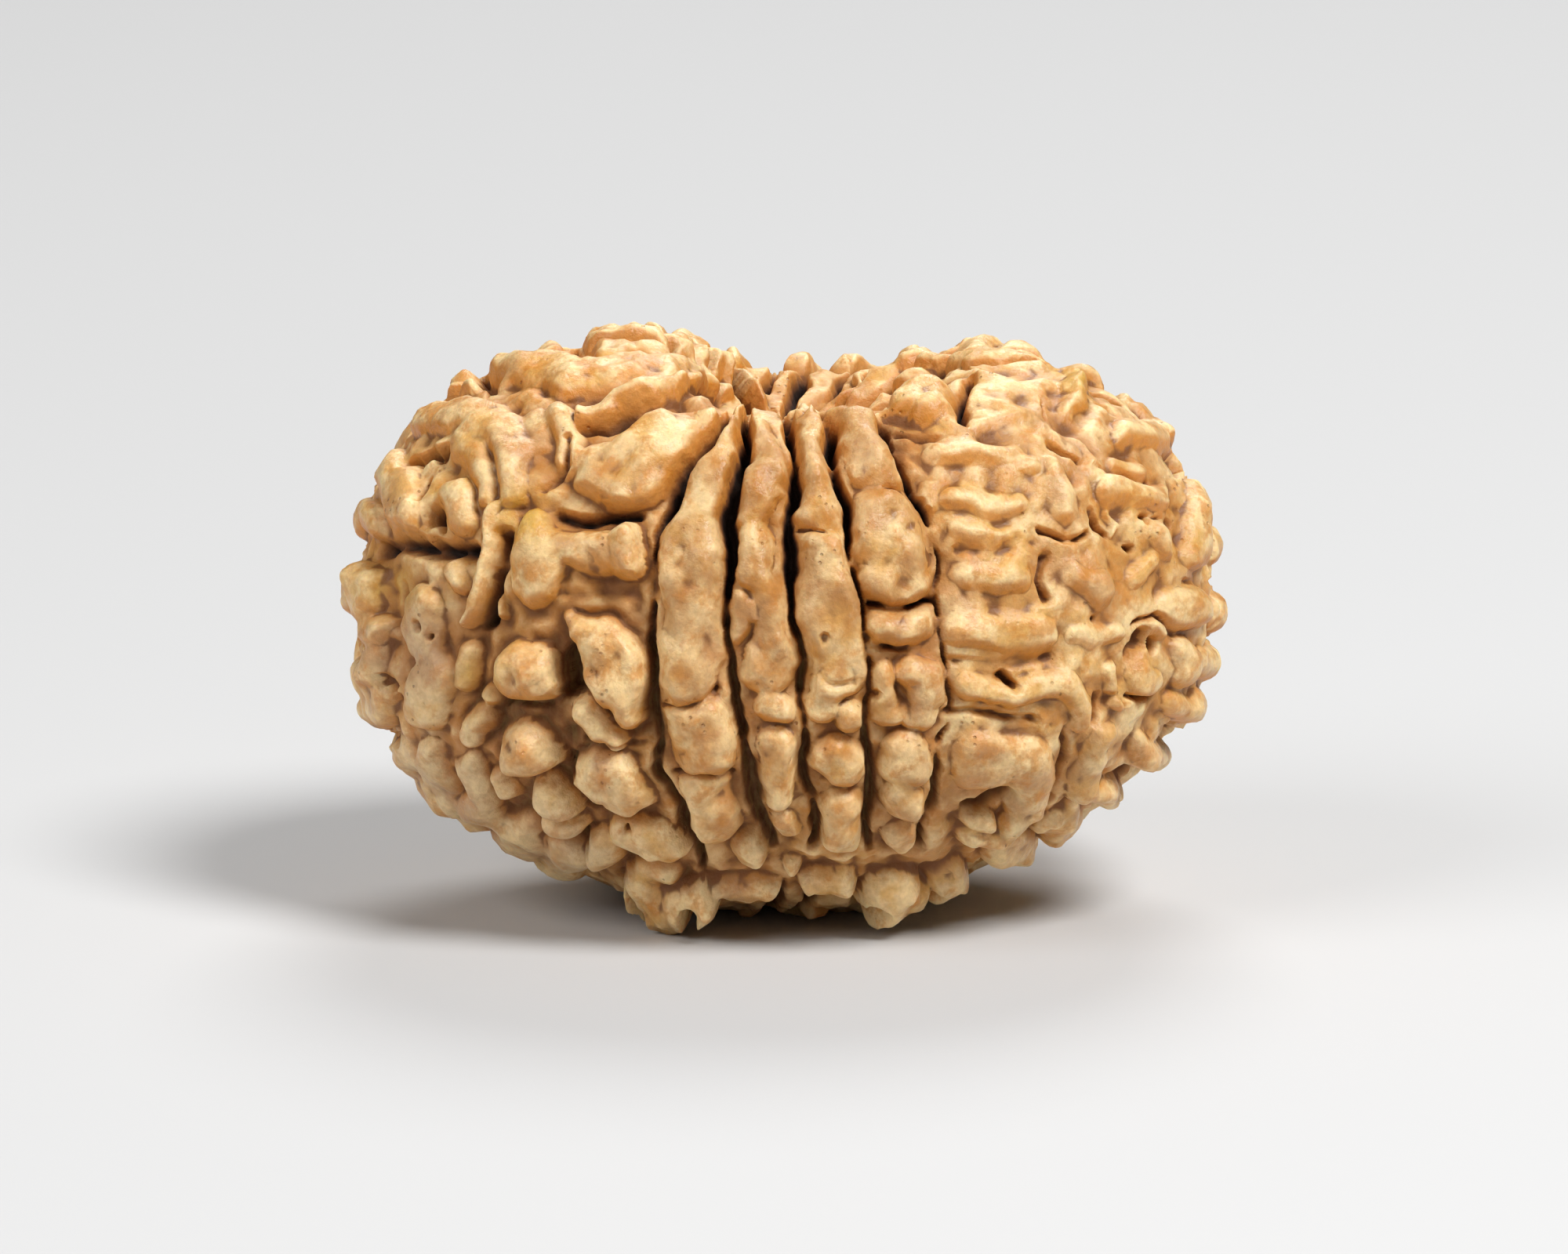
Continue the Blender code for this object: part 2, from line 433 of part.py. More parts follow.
def sunk_share(rise):
    """How much of its height a face keeps on its way to the bore."""
    return 1 - 0.5 * eased((abs(rise) - TAPER_RISE) / (POLE_RISE - TAPER_RISE))


def far_knobs(front):
    """The knobs of the back and the underside, by rule: long ones on narrow faces, short ones on wide faces."""
    draw = np.random.default_rng(5)
    front_spines = np.concatenate([spine for _, spine, _, _ in front])
    front_widths = np.concatenate([widths for _, _, widths, _ in front])
    knobs = []
    for left, right in zip(FURROW_TURNS, FURROW_TURNS[1:] + (FURROW_TURNS[0] + 360,)):
        rise = float(POLE_RISE)
        while rise > -POLE_RISE:
            face_width = np.linalg.norm(ring_place(left, rise) - ring_place(right, rise))
            if face_width < 1.1:
                rise -= 3
                continue
            columns = max(1, round(face_width / 3.6))
            short = rise < TAPER_RISE and (columns > 1 or draw.random() < 0.4)
            step = draw.uniform(1.9, 3.3) if short else draw.uniform(3.0, 6.0)
            for column in range(columns):
                turn = left + (right - left) * (column + 0.5) / columns
                half = min(face_width / columns * draw.uniform(0.36, 0.46), 1.5)
                length = max(step - 1.8 * half, 0.1)
                shift = draw.uniform(-0.25, 0.25) * step
                tilt = draw.uniform(-0.5, 0.5) * (1.0 if columns > 1 else 0.25)
                here = ring_place(turn, rise)
                rise_mm = max(np.linalg.norm(ring_place(turn, rise - 2) - here) / 2, 0.05)
                turn_mm = max(np.linalg.norm(ring_place(turn + 2, rise) - here) / 2, 0.02)
                spine = np.array([
                    ring_place(
                        turn + tilt * (share - 0.5) * length / turn_mm,
                        rise - (share * length + 0.9 * half + shift) / rise_mm,
                    )
                    for share in (0.0, 0.5, 1.0)
                ])
                height = draw.uniform(0.8, 1.05) * sunk_share(rise)
                widths = half * draw.uniform(0.8, 1.1, 3)
                middle = spine[1:2]
                faces_eye = outward(middle)[0] @ TOWARDS_EYE > (0.3 if rise > TAPER_RISE else 0.04)
                clear = (np.linalg.norm(front_spines - middle, axis=1) - front_widths).min()
                if not faces_eye and clear > 0.8 * widths.max():
                    knobs.append((height, spine, widths, 1.0))
            rise -= step / rise_mm
    return knobs


def furrow_lines():
    """Each furrow's places on the skin and its half widths: the drawn ones, then those round the rest."""
    lines = []
    for drawn in FRONT_FURROWS:
        line = [drawn_place(right, above) for right, above, _ in drawn]
        line = [towards_bore(line[0], share) for share in (0.9, 0.6, 0.3)] + line
        widths = [max(width, LEAST_FURROW_WIDTH) for _, _, width in drawn]
        lines.append((np.array(line), np.array(3 * widths[:1] + widths)))
    draw = np.random.default_rng(9)
    for turn in FURROW_TURNS:
        at_front = FRONT_TURNS[0] < turn < FRONT_TURNS[1]
        start = draw.uniform(0, 6)
        rises = range(FOOT_RISE if at_front else POLE_RISE, -POLE_RISE - 4, -6)
        line = np.array([ring_place(turn + 1.3 * math.sin(start + rise / 14), rise) for rise in rises])
        lines.append((line, draw.uniform(*FAR_FURROW_WIDTHS, len(line))))
    return lines


def narrow_share(skin):
    """1 on the narrow faces at the front, between the first drawn furrow and the last, and 0 beside them."""
    above = skin @ SIGHT_UP
    first, last = (np.array(FRONT_FURROWS[index])[::-1] for index in (0, -1))
    from_first = skin[:, 0] - np.interp(above, first[:, 1], first[:, 0])
    to_last = np.interp(above, last[:, 1], last[:, 0]) - skin[:, 0]
    inside = eased(from_first / 0.4) * eased(to_last / 0.4) * eased((above - 2.5) / 2)
    return inside * eased((outward(skin) @ TOWARDS_EYE) / 0.3)


def zone_share(skin, left, right, low, high, fade):
    """1 inside a box of the front view and 0 outside it, with a soft edge."""
    across = eased((skin[:, 0] - left) / fade) * eased((right - skin[:, 0]) / fade)
    return across * eased((skin[:, 2] - low) / fade) * eased((high - skin[:, 2]) / fade)


def merged_share(skin):
    """Near 1 where the knobs run together into broad masses."""
    return np.max([strength * zone_share(skin, *zone) for strength, *zone in MERGED_ZONES], axis=0)


def mouth_share(skin):
    """1 at the bore's upper mouth, falling to 0 round it."""
    from_bore = (skin[:, 0] - BORE_PLACE) ** 2 + skin[:, 1] ** 2
    return np.exp(-from_bore / MOUTH_REACH**2) * (skin[:, 2] > WIDEST_LEVEL)


def ground_heights(skin, merged, narrow, mouth):
    """How high the surface stands between the knobs, as a share of the relief."""
    ground = GROUND + RIGHT_RISE * eased((skin[:, 0] - 3) / 5) + MERGED_RISE * merged
    ground -= SCATTERED_DROP * zone_share(skin, *SCATTERED_ZONE)
    return ground * (1 - narrow) + NARROW_GROUND * narrow + MOUTH_RISE * mouth


def relief_heights(skin, knobs, furrows):
    """How high the surface stands over the core at each skin place, as a share of the relief."""
    strayed = skin + 0.11 * np.stack([ripple(skin, 2.6, seed) for seed in (11, 12, 13)], axis=1)
    broad = ripple(skin, 3.2, 22)
    narrow = narrow_share(skin)
    mouth = mouth_share(skin)
    ground = ground_heights(skin, merged_share(skin), narrow, mouth) + 0.05 * broad
    raised = np.zeros(len(skin))
    for height, spine, widths, depth_share in knobs:
        middle = spine.mean(axis=0)
        reach = (np.linalg.norm(spine - middle, axis=1).max() + 1.4 * widths.max() + 0.5) / depth_share
        near = np.nonzero(np.linalg.norm(strayed - middle, axis=1) < reach)[0]
        share, past_edge = spine_gaps(
            squeezed(strayed[near], depth_share), squeezed(spine, depth_share), widths + KNOB_SPREAD
        )
        crown = height * (1 + 0.055 * broad[near])
        crown *= 1 - (0.26 - 0.1 * narrow[near]) * np.minimum(share, 1.4) ** 2.2
        side = 1 + np.exp(np.minimum(past_edge / WALL, 60))
        raised[near] = (raised[near] ** FUSING + (crown / side) ** FUSING) ** (1 / FUSING)
    heights = (ground ** (2 * FUSING) + raised ** (2 * FUSING)) ** (0.5 / FUSING)
    for line, widths in furrows:
        middle = line.mean(axis=0)
        reach = np.linalg.norm(line - middle, axis=1).max() + 2
        near = np.nonzero(np.linalg.norm(strayed - middle, axis=1) < reach)[0]
        share, past_edge = spine_gaps(strayed[near], line, widths)
        width = (past_edge / (share - 1 + 1e-9)).clip(widths.min(), widths.max())
        depth = (0.4 + 0.6 * eased((width - 0.1) / (FULL_FURROW_WIDTH - 0.1))) * (1 - 0.6 * mouth[near])
        cut = heights[near] * (1 - depth * np.exp(-(share**4))) - FURROW_DEPTH * depth * np.exp(-(share**2))
        heights[near] = np.minimum(heights[near], cut)
    for floor, right, above, half in RIM_NOTCHES:
        line = over_the_rim(right, above)
        _, gap = spine_gaps(strayed, line, np.full(len(line), 1e-6))
        heights = np.minimum(heights, floor + 0.6 * (gap / half - 0.4) ** 2)
    return heights


def seed_mesh():
    """The whole seed as a ball whose points are moved out to the relief."""
    ball = bmesh.new()
    bmesh.ops.create_icosphere(ball, subdivisions=SPHERE_STEPS, radius=1)
    mesh = bpy.data.meshes.new("rudraksha_seed")
    ball.to_mesh(mesh)
    ball.free()
    places = np.empty(len(mesh.vertices) * 3, np.float32)
    mesh.vertices.foreach_get("co", places)
    skin = skin_places(places.reshape(-1, 3) * np.array([HALF_LENGTH, HALF_DEPTH, RISE]))
    front = front_knobs() + ridge_ends()
    heights = relief_heights(skin, front + far_knobs(front), furrow_lines())
    surface = skin - outward(skin) * (RELIEF * (1 - heights))[:, None]
    surface[:, 2] -= FOOT_LEVEL
    mesh.vertices.foreach_set("co", (surface * MM).astype(np.float32).ravel())
    mesh.shade_smooth()
    return mesh


def seed_wood():
    """Dried woody stone: warm tan, satin from handling and oil."""
    material = bpy.data.materials.new("seed_wood")
    material.use_nodes = True
    shader = material.node_tree.nodes["Principled BSDF"]
    shader.inputs["Base Color"].default_value = (0.56, 0.35, 0.16, 1)
    shader.inputs["Roughness"].default_value = 0.5
    shader.inputs["Metallic"].default_value = 0.0
    return material


def new_object(name, mesh, collection):
    made = bpy.data.objects.new(name, mesh)
    collection.objects.link(made)
    return made


def bore_cutter(collection):
    """The natural bore that the faces run to, straight through from pole to pole."""
    shape = bmesh.new()
    bmesh.ops.create_cone(
        shape, cap_ends=True, segments=16, radius1=BORE_WIDTH / 2 * MM, radius2=BORE_WIDTH / 2 * MM, depth=40 * MM
    )
    mesh = bpy.data.meshes.new("bore_cutter")
    shape.to_mesh(mesh)
    shape.free()
    cutter = new_object("bore_cutter", mesh, collection)
    cutter.location = (BORE_PLACE * MM, 0, WIDEST_LEVEL * MM)
    return cutter


def foot_cutter(collection):
    """All that lies below the surface the seed rests on."""
    shape = bmesh.new()
    bmesh.ops.create_cube(shape, size=60 * MM)
    mesh = bpy.data.meshes.new("foot_cutter")
    shape.to_mesh(mesh)
    shape.free()
    cutter = new_object("foot_cutter", mesh, collection)
    cutter.location = (0, 0, -30 * MM)
    return cutter


def cut(body, cutter):
    cutter.hide_render = True
    cutter.display_type = "WIRE"
    boolean = body.modifiers.new(cutter.name, "BOOLEAN")
    boolean.operation = "DIFFERENCE"
    boolean.object = cutter
    boolean.solver = "EXACT"


def centre_on_box(body, others):
    """Moves all of it so that the finished seed's box is centred over the origin."""
    bpy.context.view_layer.update()
    finished = body.evaluated_get(bpy.context.evaluated_depsgraph_get())
    corners = np.array([body.matrix_world @ vertex.co for vertex in finished.data.vertices])
    middle = (corners.min(axis=0) + corners.max(axis=0)) / 2
    for moved in (body, *others):
        moved.location.x -= middle[0]
        moved.location.y -= middle[1]


def main():
    for old in list(bpy.data.objects):
        bpy.data.objects.remove(old)
    parts = bpy.data.collections.new("rudraksha")
    cutters = bpy.data.collections.new("cutters")
    bpy.context.scene.collection.children.link(parts)
    bpy.context.scene.collection.children.link(cutters)
    seed = new_object("rudraksha_seed", seed_mesh(), parts)
    seed.data.materials.append(seed_wood())
    thin = seed.modifiers.new("fewer_faces", "DECIMATE")
    thin.ratio = NODE_FACES / len(seed.data.polygons)
    bore = bore_cutter(cutters)
    foot = foot_cutter(cutters)
    cut(seed, bore)
    cut(seed, foot)
    centre_on_box(seed, (bore, foot))


main()
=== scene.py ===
"""A rudraksha seed lying on a pale studio floor: the fine woody surface and the stage."""

import math

import bmesh
import bpy
import numpy as np
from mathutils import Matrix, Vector


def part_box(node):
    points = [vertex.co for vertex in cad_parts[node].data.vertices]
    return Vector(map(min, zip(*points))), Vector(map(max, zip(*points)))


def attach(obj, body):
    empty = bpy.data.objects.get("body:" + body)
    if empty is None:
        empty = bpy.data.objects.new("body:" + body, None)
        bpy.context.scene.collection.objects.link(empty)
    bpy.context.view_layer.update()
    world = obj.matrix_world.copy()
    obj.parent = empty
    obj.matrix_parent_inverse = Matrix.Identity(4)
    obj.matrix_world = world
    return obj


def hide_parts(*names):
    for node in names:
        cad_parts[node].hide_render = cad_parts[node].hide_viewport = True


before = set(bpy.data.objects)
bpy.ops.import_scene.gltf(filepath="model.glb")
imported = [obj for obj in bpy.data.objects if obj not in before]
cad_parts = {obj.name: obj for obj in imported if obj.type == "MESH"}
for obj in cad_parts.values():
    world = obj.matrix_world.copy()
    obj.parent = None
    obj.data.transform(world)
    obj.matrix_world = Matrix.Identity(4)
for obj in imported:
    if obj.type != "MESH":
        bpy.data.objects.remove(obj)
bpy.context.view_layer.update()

bl_info = {
    "name": "Rudraksha Seed",
    "version": (1, 0, 0),
    "blender": (4, 5, 0),
    "location": "View3D > Sidebar > Rudraksha",
    "description": "Builds a knobbed and furrowed rudraksha seed and a studio stage",
    "category": "Add Mesh",
}

NODE = "rudraksha_seed"
MM = 0.001

# Driving sizes in millimetres. X is the long side, Y the depth, Z the bore's axis.
HALF_LENGTH = 18.75
HALF_DEPTH = 13.6
RISE = 13.0  # from the widest level up to the domes beside the hole
DROP = 12.4  # from the widest level down to the foot
WIDEST_LEVEL = 13.5
LEAN = 0.45  # how much deeper the seed is at its left end than at its right
ROUND_PLAN = 2.15  # powers of the smooth form: 2 is an ellipsoid, more is fuller
ROUND_TOP = 2.75
ROUND_BASE = 1.95
SADDLE_DEPTH = 4.3  # of the hollow between the two domes
SADDLE_LEFT = 2.8  # how far it reaches from the bore to each side
SADDLE_RIGHT = 6.8
SADDLE_FRONT = 5.5
SADDLE_BACK = 7.5
DISH_DEPTH = 1.2  # of the hollow round the bore's lower mouth
DISH_LENGTH = 3.6
DISH_WIDTH = 3.2
SWELL = 0.9  # how much further down the middle of the base hangs
SWELL_PLACE = 0.6
SWELL_LENGTH = 7.5
POLE_FADE = 6.0  # saddle, dish and swell come in over this distance from the widest level
RELIEF = 1.9  # from the furrow floors' level up to the knobs' crests
BORE_PLACE = -0.8
BORE_WIDTH = 1.8
BORE_LOW = -2.0  # the cut for it starts below the seed and ends above it
BORE_HIGH = 27.0
FOOT_LEVEL = 1.65  # the lowest knobs are worn flat at this level
SEEN_WIDTH = 2000 / 30  # the photo's width at 30 pixels to a millimetre
SENSOR_WIDTH = 36
FLOOR_GAP = 0.00002  # metres, so that the foot's flat spots and the floor don't share a plane

# The front is drawn as seen from a little above: right of the middle, above the foot, half width
SIGHT_SLOPE = math.radians(12)
SIGHT_DISTANCE = 600.0
SIGHT_AIM = 13.46
CENTRE = np.array([0.0, 0.0, WIDEST_LEVEL])
AIM = np.array([0.0, 0.0, SIGHT_AIM])
TOWARDS_EYE = np.array([0.0, -math.cos(SIGHT_SLOPE), math.sin(SIGHT_SLOPE)])
SIGHT_UP = np.array([0.0, math.sin(SIGHT_SLOPE), math.cos(SIGHT_SLOPE)])
EYE = AIM + SIGHT_DISTANCE * TOWARDS_EYE

# Each knob: height as a share of the relief, then the points of its spine
NARROW_FACES = (
    (1.0, (-2.15, 21.8, 0.25), (-2.4, 21.0, 0.42), (-2.85, 20.0, 0.8), (-3.25, 19.0, 0.95), (-3.75, 18.0, 1.05),
     (-3.95, 17.0, 1.15), (-4.0, 16.0, 1.15), (-4.1, 15.0, 1.1), (-3.9, 14.0, 1.25), (-3.85, 13.0, 1.3),
     (-3.95, 12.0, 1.2), (-4.1, 10.9, 1.0)),
    (1.0, (-3.65, 9.2, 1.3), (-3.4, 8.2, 1.4), (-3.3, 7.7, 1.2)),
    (0.95, (-3.35, 6.2, 1.15), (-3.05, 5.2, 1.2), (-2.8, 4.7, 1.0)),
    (0.8, (-1.6, 3.6, 0.65), (-1.4, 3.2, 0.6)),
    (0.9, (-0.95, 21.6, 0.4), (-0.9, 21.0, 0.6), (-0.8, 20.4, 0.7)),
    (0.97, (-0.8, 19.7, 0.88), (-0.85, 19.2, 0.8)),
    (0.9, (-1.0, 18.5, 0.7), (-1.2, 17.8, 0.65)),
    (0.97, (-1.1, 16.8, 0.9), (-1.2, 15.8, 1.0)),
    (0.85, (-0.75, 14.9, 0.75), (-0.5, 13.8, 0.7), (-0.6, 13.0, 0.65)),
    (0.97, (-0.65, 12.1, 0.95), (-0.7, 11.2, 1.05)),
    (0.9, (-0.4, 9.7, 0.72), (-0.1, 9.7, 0.7)),
    (0.92, (-0.3, 8.1, 0.82), (-0.25, 7.4, 0.76), (-0.2, 6.3, 0.62), (-0.15, 5.8, 0.5)),
    (0.87, (0.15, 4.8, 0.52), (0.25, 4.5, 0.48)),
    (0.95, (1.25, 22.2, 0.35), (1.3, 21.4, 0.55), (1.35, 20.0, 0.65), (1.5, 19.0, 0.78), (1.55, 18.1, 0.9)),
    (1.0, (1.8, 16.6, 0.95), (1.85, 16.0, 1.0), (1.95, 15.0, 1.05), (2.0, 14.0, 1.15), (2.15, 13.0, 1.2),
     (2.3, 12.0, 1.15), (2.3, 11.2, 1.05)),
    (0.9, (1.95, 10.3, 0.75), (1.8, 9.6, 0.65)),
    (0.95, (2.95, 9.4, 0.65), (2.9, 9.2, 0.65)),
    (0.95, (2.15, 7.5, 0.9), (2.6, 7.3, 0.95)),
    (0.95, (2.45, 5.4, 0.98), (2.45, 4.3, 0.9)),
    (0.95, (3.25, 22.0, 0.75), (3.45, 21.2, 0.85), (3.95, 20.2, 1.0), (4.1, 19.7, 1.0)),
    (1.0, (4.2, 18.2, 1.1), (4.55, 17.0, 1.25), (4.75, 16.0, 1.3)),
    (0.98, (4.1, 15.0, 0.8), (4.8, 15.0, 0.85), (5.6, 14.9, 0.75)),
    (0.9, (4.2, 13.25, 0.68), (5.8, 13.2, 0.75)),
    (0.9, (4.35, 11.3, 0.6), (4.3, 10.4, 0.6), (4.5, 9.5, 0.6)),
    (0.93, (5.5, 11.35, 0.65), (6.1, 11.0, 0.7), (6.2, 10.3, 0.7)),
    (0.88, (5.6, 9.5, 0.65), (6.1, 9.4, 0.6)),
    (0.72, (5.2, 10.3, 0.6), (5.3, 10.2, 0.6)),
    (0.95, (5.3, 7.9, 1.05), (5.3, 7.2, 1.15)),
    (0.92, (5.05, 5.75, 0.8), (5.2, 5.6, 0.8)),
    (0.9, (5.1, 4.1, 0.75), (5.1, 3.95, 0.7)),
)

LEFT_FACES = (
    (0.97, (-10.8, 24.1, 0.9), (-9.8, 24.2, 0.95), (-9.2, 23.6, 0.9)),
    (1.0, (-7.5, 25.1, 0.4), (-6.4, 25.35, 0.42), (-5.0, 25.15, 0.42), (-3.8, 24.65, 0.42), (-2.6, 24.2, 0.42),
     (-1.5, 23.5, 0.4), (-1.1, 22.9, 0.3)),
    (0.9, (-8.4, 23.9, 0.9), (-6.5, 24.3, 0.9), (-4.6, 24.2, 0.8), (-3.2, 23.8, 0.6)),
    (0.97, (-8.5, 22.35, 0.36), (-7.3, 22.65, 0.4), (-6.0, 23.2, 0.42), (-4.5, 23.5, 0.42), (-3.0, 23.4, 0.38),
     (-2.1, 22.9, 0.3)),
    (1.0, (-7.9, 20.0, 1.2), (-6.7, 19.8, 1.6), (-5.8, 20.6, 1.5), (-4.7, 21.5, 1.2), (-3.5, 22.0, 0.85)),
    (1.0, (-10.6, 17.3, 0.95), (-10.6, 15.8, 1.2), (-10.7, 14.8, 1.0)),
    (0.95, (-10.2, 16.9, 0.85), (-8.7, 16.55, 0.95), (-7.5, 16.3, 0.9)),
    (1.05, (-6.6, 16.9, 0.55), (-6.55, 15.8, 0.62)),
    (1.02, (-8.7, 12.9, 0.6), (-7.6, 12.5, 0.95), (-7.0, 12.2, 0.95), (-6.85, 11.2, 0.85), (-6.65, 10.0, 0.65),
     (-6.5, 9.2, 0.45)),
    (1.0, (-8.0, 12.1, 0.75), (-7.8, 11.2, 0.75), (-7.3, 10.3, 0.6)),
    (0.87, (-8.4, 9.4, 0.75), (-7.9, 8.8, 0.75), (-7.2, 8.3, 0.55)),
    (1.0, (-8.1, 6.7, 0.95), (-7.0, 6.5, 1.15), (-6.7, 6.0, 1.05)),
    (0.9, (-7.8, 3.55, 0.72), (-7.7, 3.4, 0.7)),
    (0.9, (-6.8, 4.1, 0.8), (-5.6, 3.9, 0.9), (-4.9, 3.7, 0.7)),
    (1.06, (-11.2, 11.2, 1.3), (-10.9, 11.1, 1.3)),
    (1.06, (-11.05, 7.95, 1.15), (-10.8, 7.8, 1.15)),
    (0.98, (-9.9, 5.9, 0.82), (-9.7, 5.7, 0.8)),
    (0.85, (-9.7, 4.5, 0.65), (-9.2, 4.5, 0.6)),
    (0.78, (-13.6, 8.4, 0.5), (-13.0, 9.2, 0.55)),
    (0.7, (-12.0, 6.5, 0.45), (-11.7, 5.9, 0.5)),
    (0.75, (-12.0, 4.5, 0.7), (-11.0, 4.3, 0.7)),
    (0.92, (-12.1, 18.5, 0.36), (-12.4, 17.0, 0.32), (-12.85, 15.5, 0.36), (-13.2, 14.5, 0.36),
     (-13.5, 13.6, 0.3)),
    (0.85, (-13.5, 12.3, 0.36), (-13.75, 11.3, 0.4), (-13.75, 10.9, 0.36)),
    (0.78, (-14.1, 15.6, 0.6), (-13.9, 15.2, 0.5)),
    (0.97, (-15.35, 14.0, 0.95), (-15.5, 12.9, 1.2)),
    (0.93, (-15.1, 11.2, 1.3), (-15.4, 9.8, 1.15)),
    (0.92, (-15.1, 7.6, 0.85), (-14.7, 6.4, 0.9), (-14.2, 5.7, 0.7)),
    (0.78, (-13.5, 7.2, 0.65), (-13.1, 6.2, 0.75), (-12.9, 5.5, 0.6)),
    (1.12, (-17.6, 15.2, 0.8), (-17.7, 14.2, 0.85)),
    (1.05, (-17.4, 13.1, 0.7), (-17.0, 12.8, 0.6)),
    (1.0, (-17.2, 12.0, 0.5), (-17.3, 11.2, 0.5)),
    (1.0, (-16.9, 10.3, 0.55), (-16.9, 9.6, 0.7)),
    (0.92, (-13.9, 23.35, 0.42), (-13.3, 23.4, 0.42)),
    (0.97, (-15.2, 21.9, 0.75), (-14.2, 22.1, 0.9), (-13.4, 22.5, 0.85)),
    (0.97, (-12.9, 22.3, 1.0), (-12.0, 21.7, 1.0), (-11.5, 20.7, 0.9), (-11.4, 19.6, 0.8), (-11.4, 18.9, 0.6)),
    (0.87, (-13.4, 21.2, 1.0), (-12.9, 19.8, 0.8), (-12.6, 18.9, 0.5)),
    (0.95, (-16.6, 20.2, 0.7), (-16.4, 19.2, 0.95), (-16.2, 18.1, 0.85)),
    (1.02, (-17.5, 18.0, 0.7), (-17.4, 17.6, 0.65)),
    (0.88, (-15.7, 18.3, 0.5), (-15.8, 17.6, 0.5)),
    (0.93, (-14.0, 18.7, 0.8), (-13.7, 17.8, 0.85)),
    (0.85, (-9.6, 22.2, 0.7), (-9.2, 21.2, 0.8), (-9.2, 20.3, 0.7)),
    (0.78, (-10.7, 22.1, 0.6), (-10.4, 20.9, 0.6)),
)

RIGHT_FACES = (
    (1.1, (5.5, 23.0, 0.9), (6.35, 23.1, 1.0), (6.35, 22.7, 1.0)),
    (0.88, (8.9, 22.7, 0.7), (9.7, 22.2, 0.7)),
    (0.9, (0.6, 22.3, 0.2), (2.3, 22.75, 0.28), (3.5, 23.3, 0.33), (4.6, 23.75, 0.36)),
    (0.97, (8.1, 23.8, 0.5), (9.3, 23.5, 0.55), (10.4, 22.9, 0.5), (10.9, 22.3, 0.4)),
    (0.95, (3.4, 23.6, 0.4), (4.8, 24.2, 0.55), (6.4, 24.5, 0.62), (8.2, 24.7, 0.65), (9.6, 24.6, 0.65),
     (10.8, 24.2, 0.6)),
    (1.0, (12.4, 24.1, 0.75), (12.3, 23.0, 0.8), (12.1, 22.3, 0.6)),
    (0.97, (14.6, 22.9, 0.42), (15.3, 22.7, 0.45)),
    (1.0, (14.5, 21.3, 0.72), (15.5, 21.3, 0.85), (15.8, 21.1, 0.75)),
    (0.95, (11.9, 21.5, 0.22), (12.6, 21.0, 0.26), (13.0, 20.2, 0.24)),
    (0.9, (14.2, 20.05, 0.5), (15.1, 19.9, 0.5)),
    (0.92, (6.8, 20.6, 0.8), (8.3, 20.6, 1.05), (9.8, 20.5, 1.0), (10.5, 20.1, 0.7)),
    (0.92, (7.2, 18.7, 0.85), (8.7, 18.5, 1.05), (10.0, 18.6, 0.9)),
    (0.87, (7.5, 17.4, 0.6), (9.0, 17.2, 0.62), (10.0, 17.2, 0.5)),
    (0.96, (11.3, 20.1, 0.6), (11.8, 19.0, 0.9), (12.0, 18.1, 0.82)),
    (0.97, (14.0, 18.9, 0.65), (15.2, 18.8, 0.72), (16.1, 18.7, 0.68)),
    (0.87, (14.0, 18.2, 0.2), (14.4, 17.8, 0.24), (14.2, 17.3, 0.2)),
    (1.0, (17.4, 18.7, 0.75), (17.6, 17.4, 0.8), (17.5, 16.3, 0.78)),
    (0.9, (15.9, 17.0, 0.6), (16.1, 16.5, 0.55)),
    (0.93, (7.7, 15.4, 0.85), (9.3, 15.3, 1.1), (10.0, 15.3, 0.95)),
    (0.9, (7.6, 13.1, 0.85), (9.3, 13.0, 0.95), (10.9, 13.1, 0.9)),
    (0.98, (12.4, 15.5, 0.8), (13.2, 15.0, 0.88), (13.4, 14.6, 0.82)),
    (0.9, (14.9, 15.3, 0.55), (15.6, 15.8, 0.55)),
    (1.03, (16.6, 14.1, 0.9), (17.6, 14.1, 0.85)),
    (0.87, (12.2, 12.8, 0.45), (13.2, 12.8, 0.5), (14.3, 12.85, 0.45)),
    (0.95, (16.9, 12.4, 0.6), (17.2, 11.4, 0.7), (17.0, 11.0, 0.6)),
    (0.97, (7.9, 10.65, 0.65), (9.5, 10.55, 0.72), (11.0, 10.7, 0.75), (12.2, 10.6, 0.75), (12.7, 9.9, 0.6),
     (12.65, 9.4, 0.5)),
    (0.9, (13.9, 11.4, 0.45), (13.95, 10.6, 0.45)),
    (0.88, (14.1, 9.9, 0.36), (14.2, 9.8, 0.36)),
    (0.93, (15.2, 11.2, 0.68), (15.7, 10.9, 0.66)),
    (1.0, (16.7, 9.9, 0.62), (17.0, 9.6, 0.62)),
    (1.0, (15.2, 8.4, 0.52), (15.2, 7.7, 0.58)),
    (0.98, (8.2, 7.7, 1.0), (9.5, 7.7, 1.15), (10.4, 7.5, 1.15), (10.7, 6.5, 1.0), (10.4, 5.3, 0.7),
     (9.4, 4.3, 0.5), (7.8, 4.1, 0.5)),
    (0.95, (8.0, 7.0, 0.85), (8.9, 7.0, 0.8)),
    (0.95, (13.6, 8.6, 0.55), (13.1, 7.8, 0.7), (12.9, 6.9, 0.75), (12.7, 6.2, 0.7)),
    (0.82, (11.6, 4.8, 0.5), (12.3, 5.0, 0.5)),
)

BACK_RIM = (
    (0.62, (0.3, 22.9, 0.9), (1.3, 23.1, 0.9)),
    (0.6, (-0.6, 23.0, 0.6), (-0.7, 23.4, 0.6)),
    (0.6, (2.8, 23.2, 0.8), (3.7, 23.4, 0.8)),
)

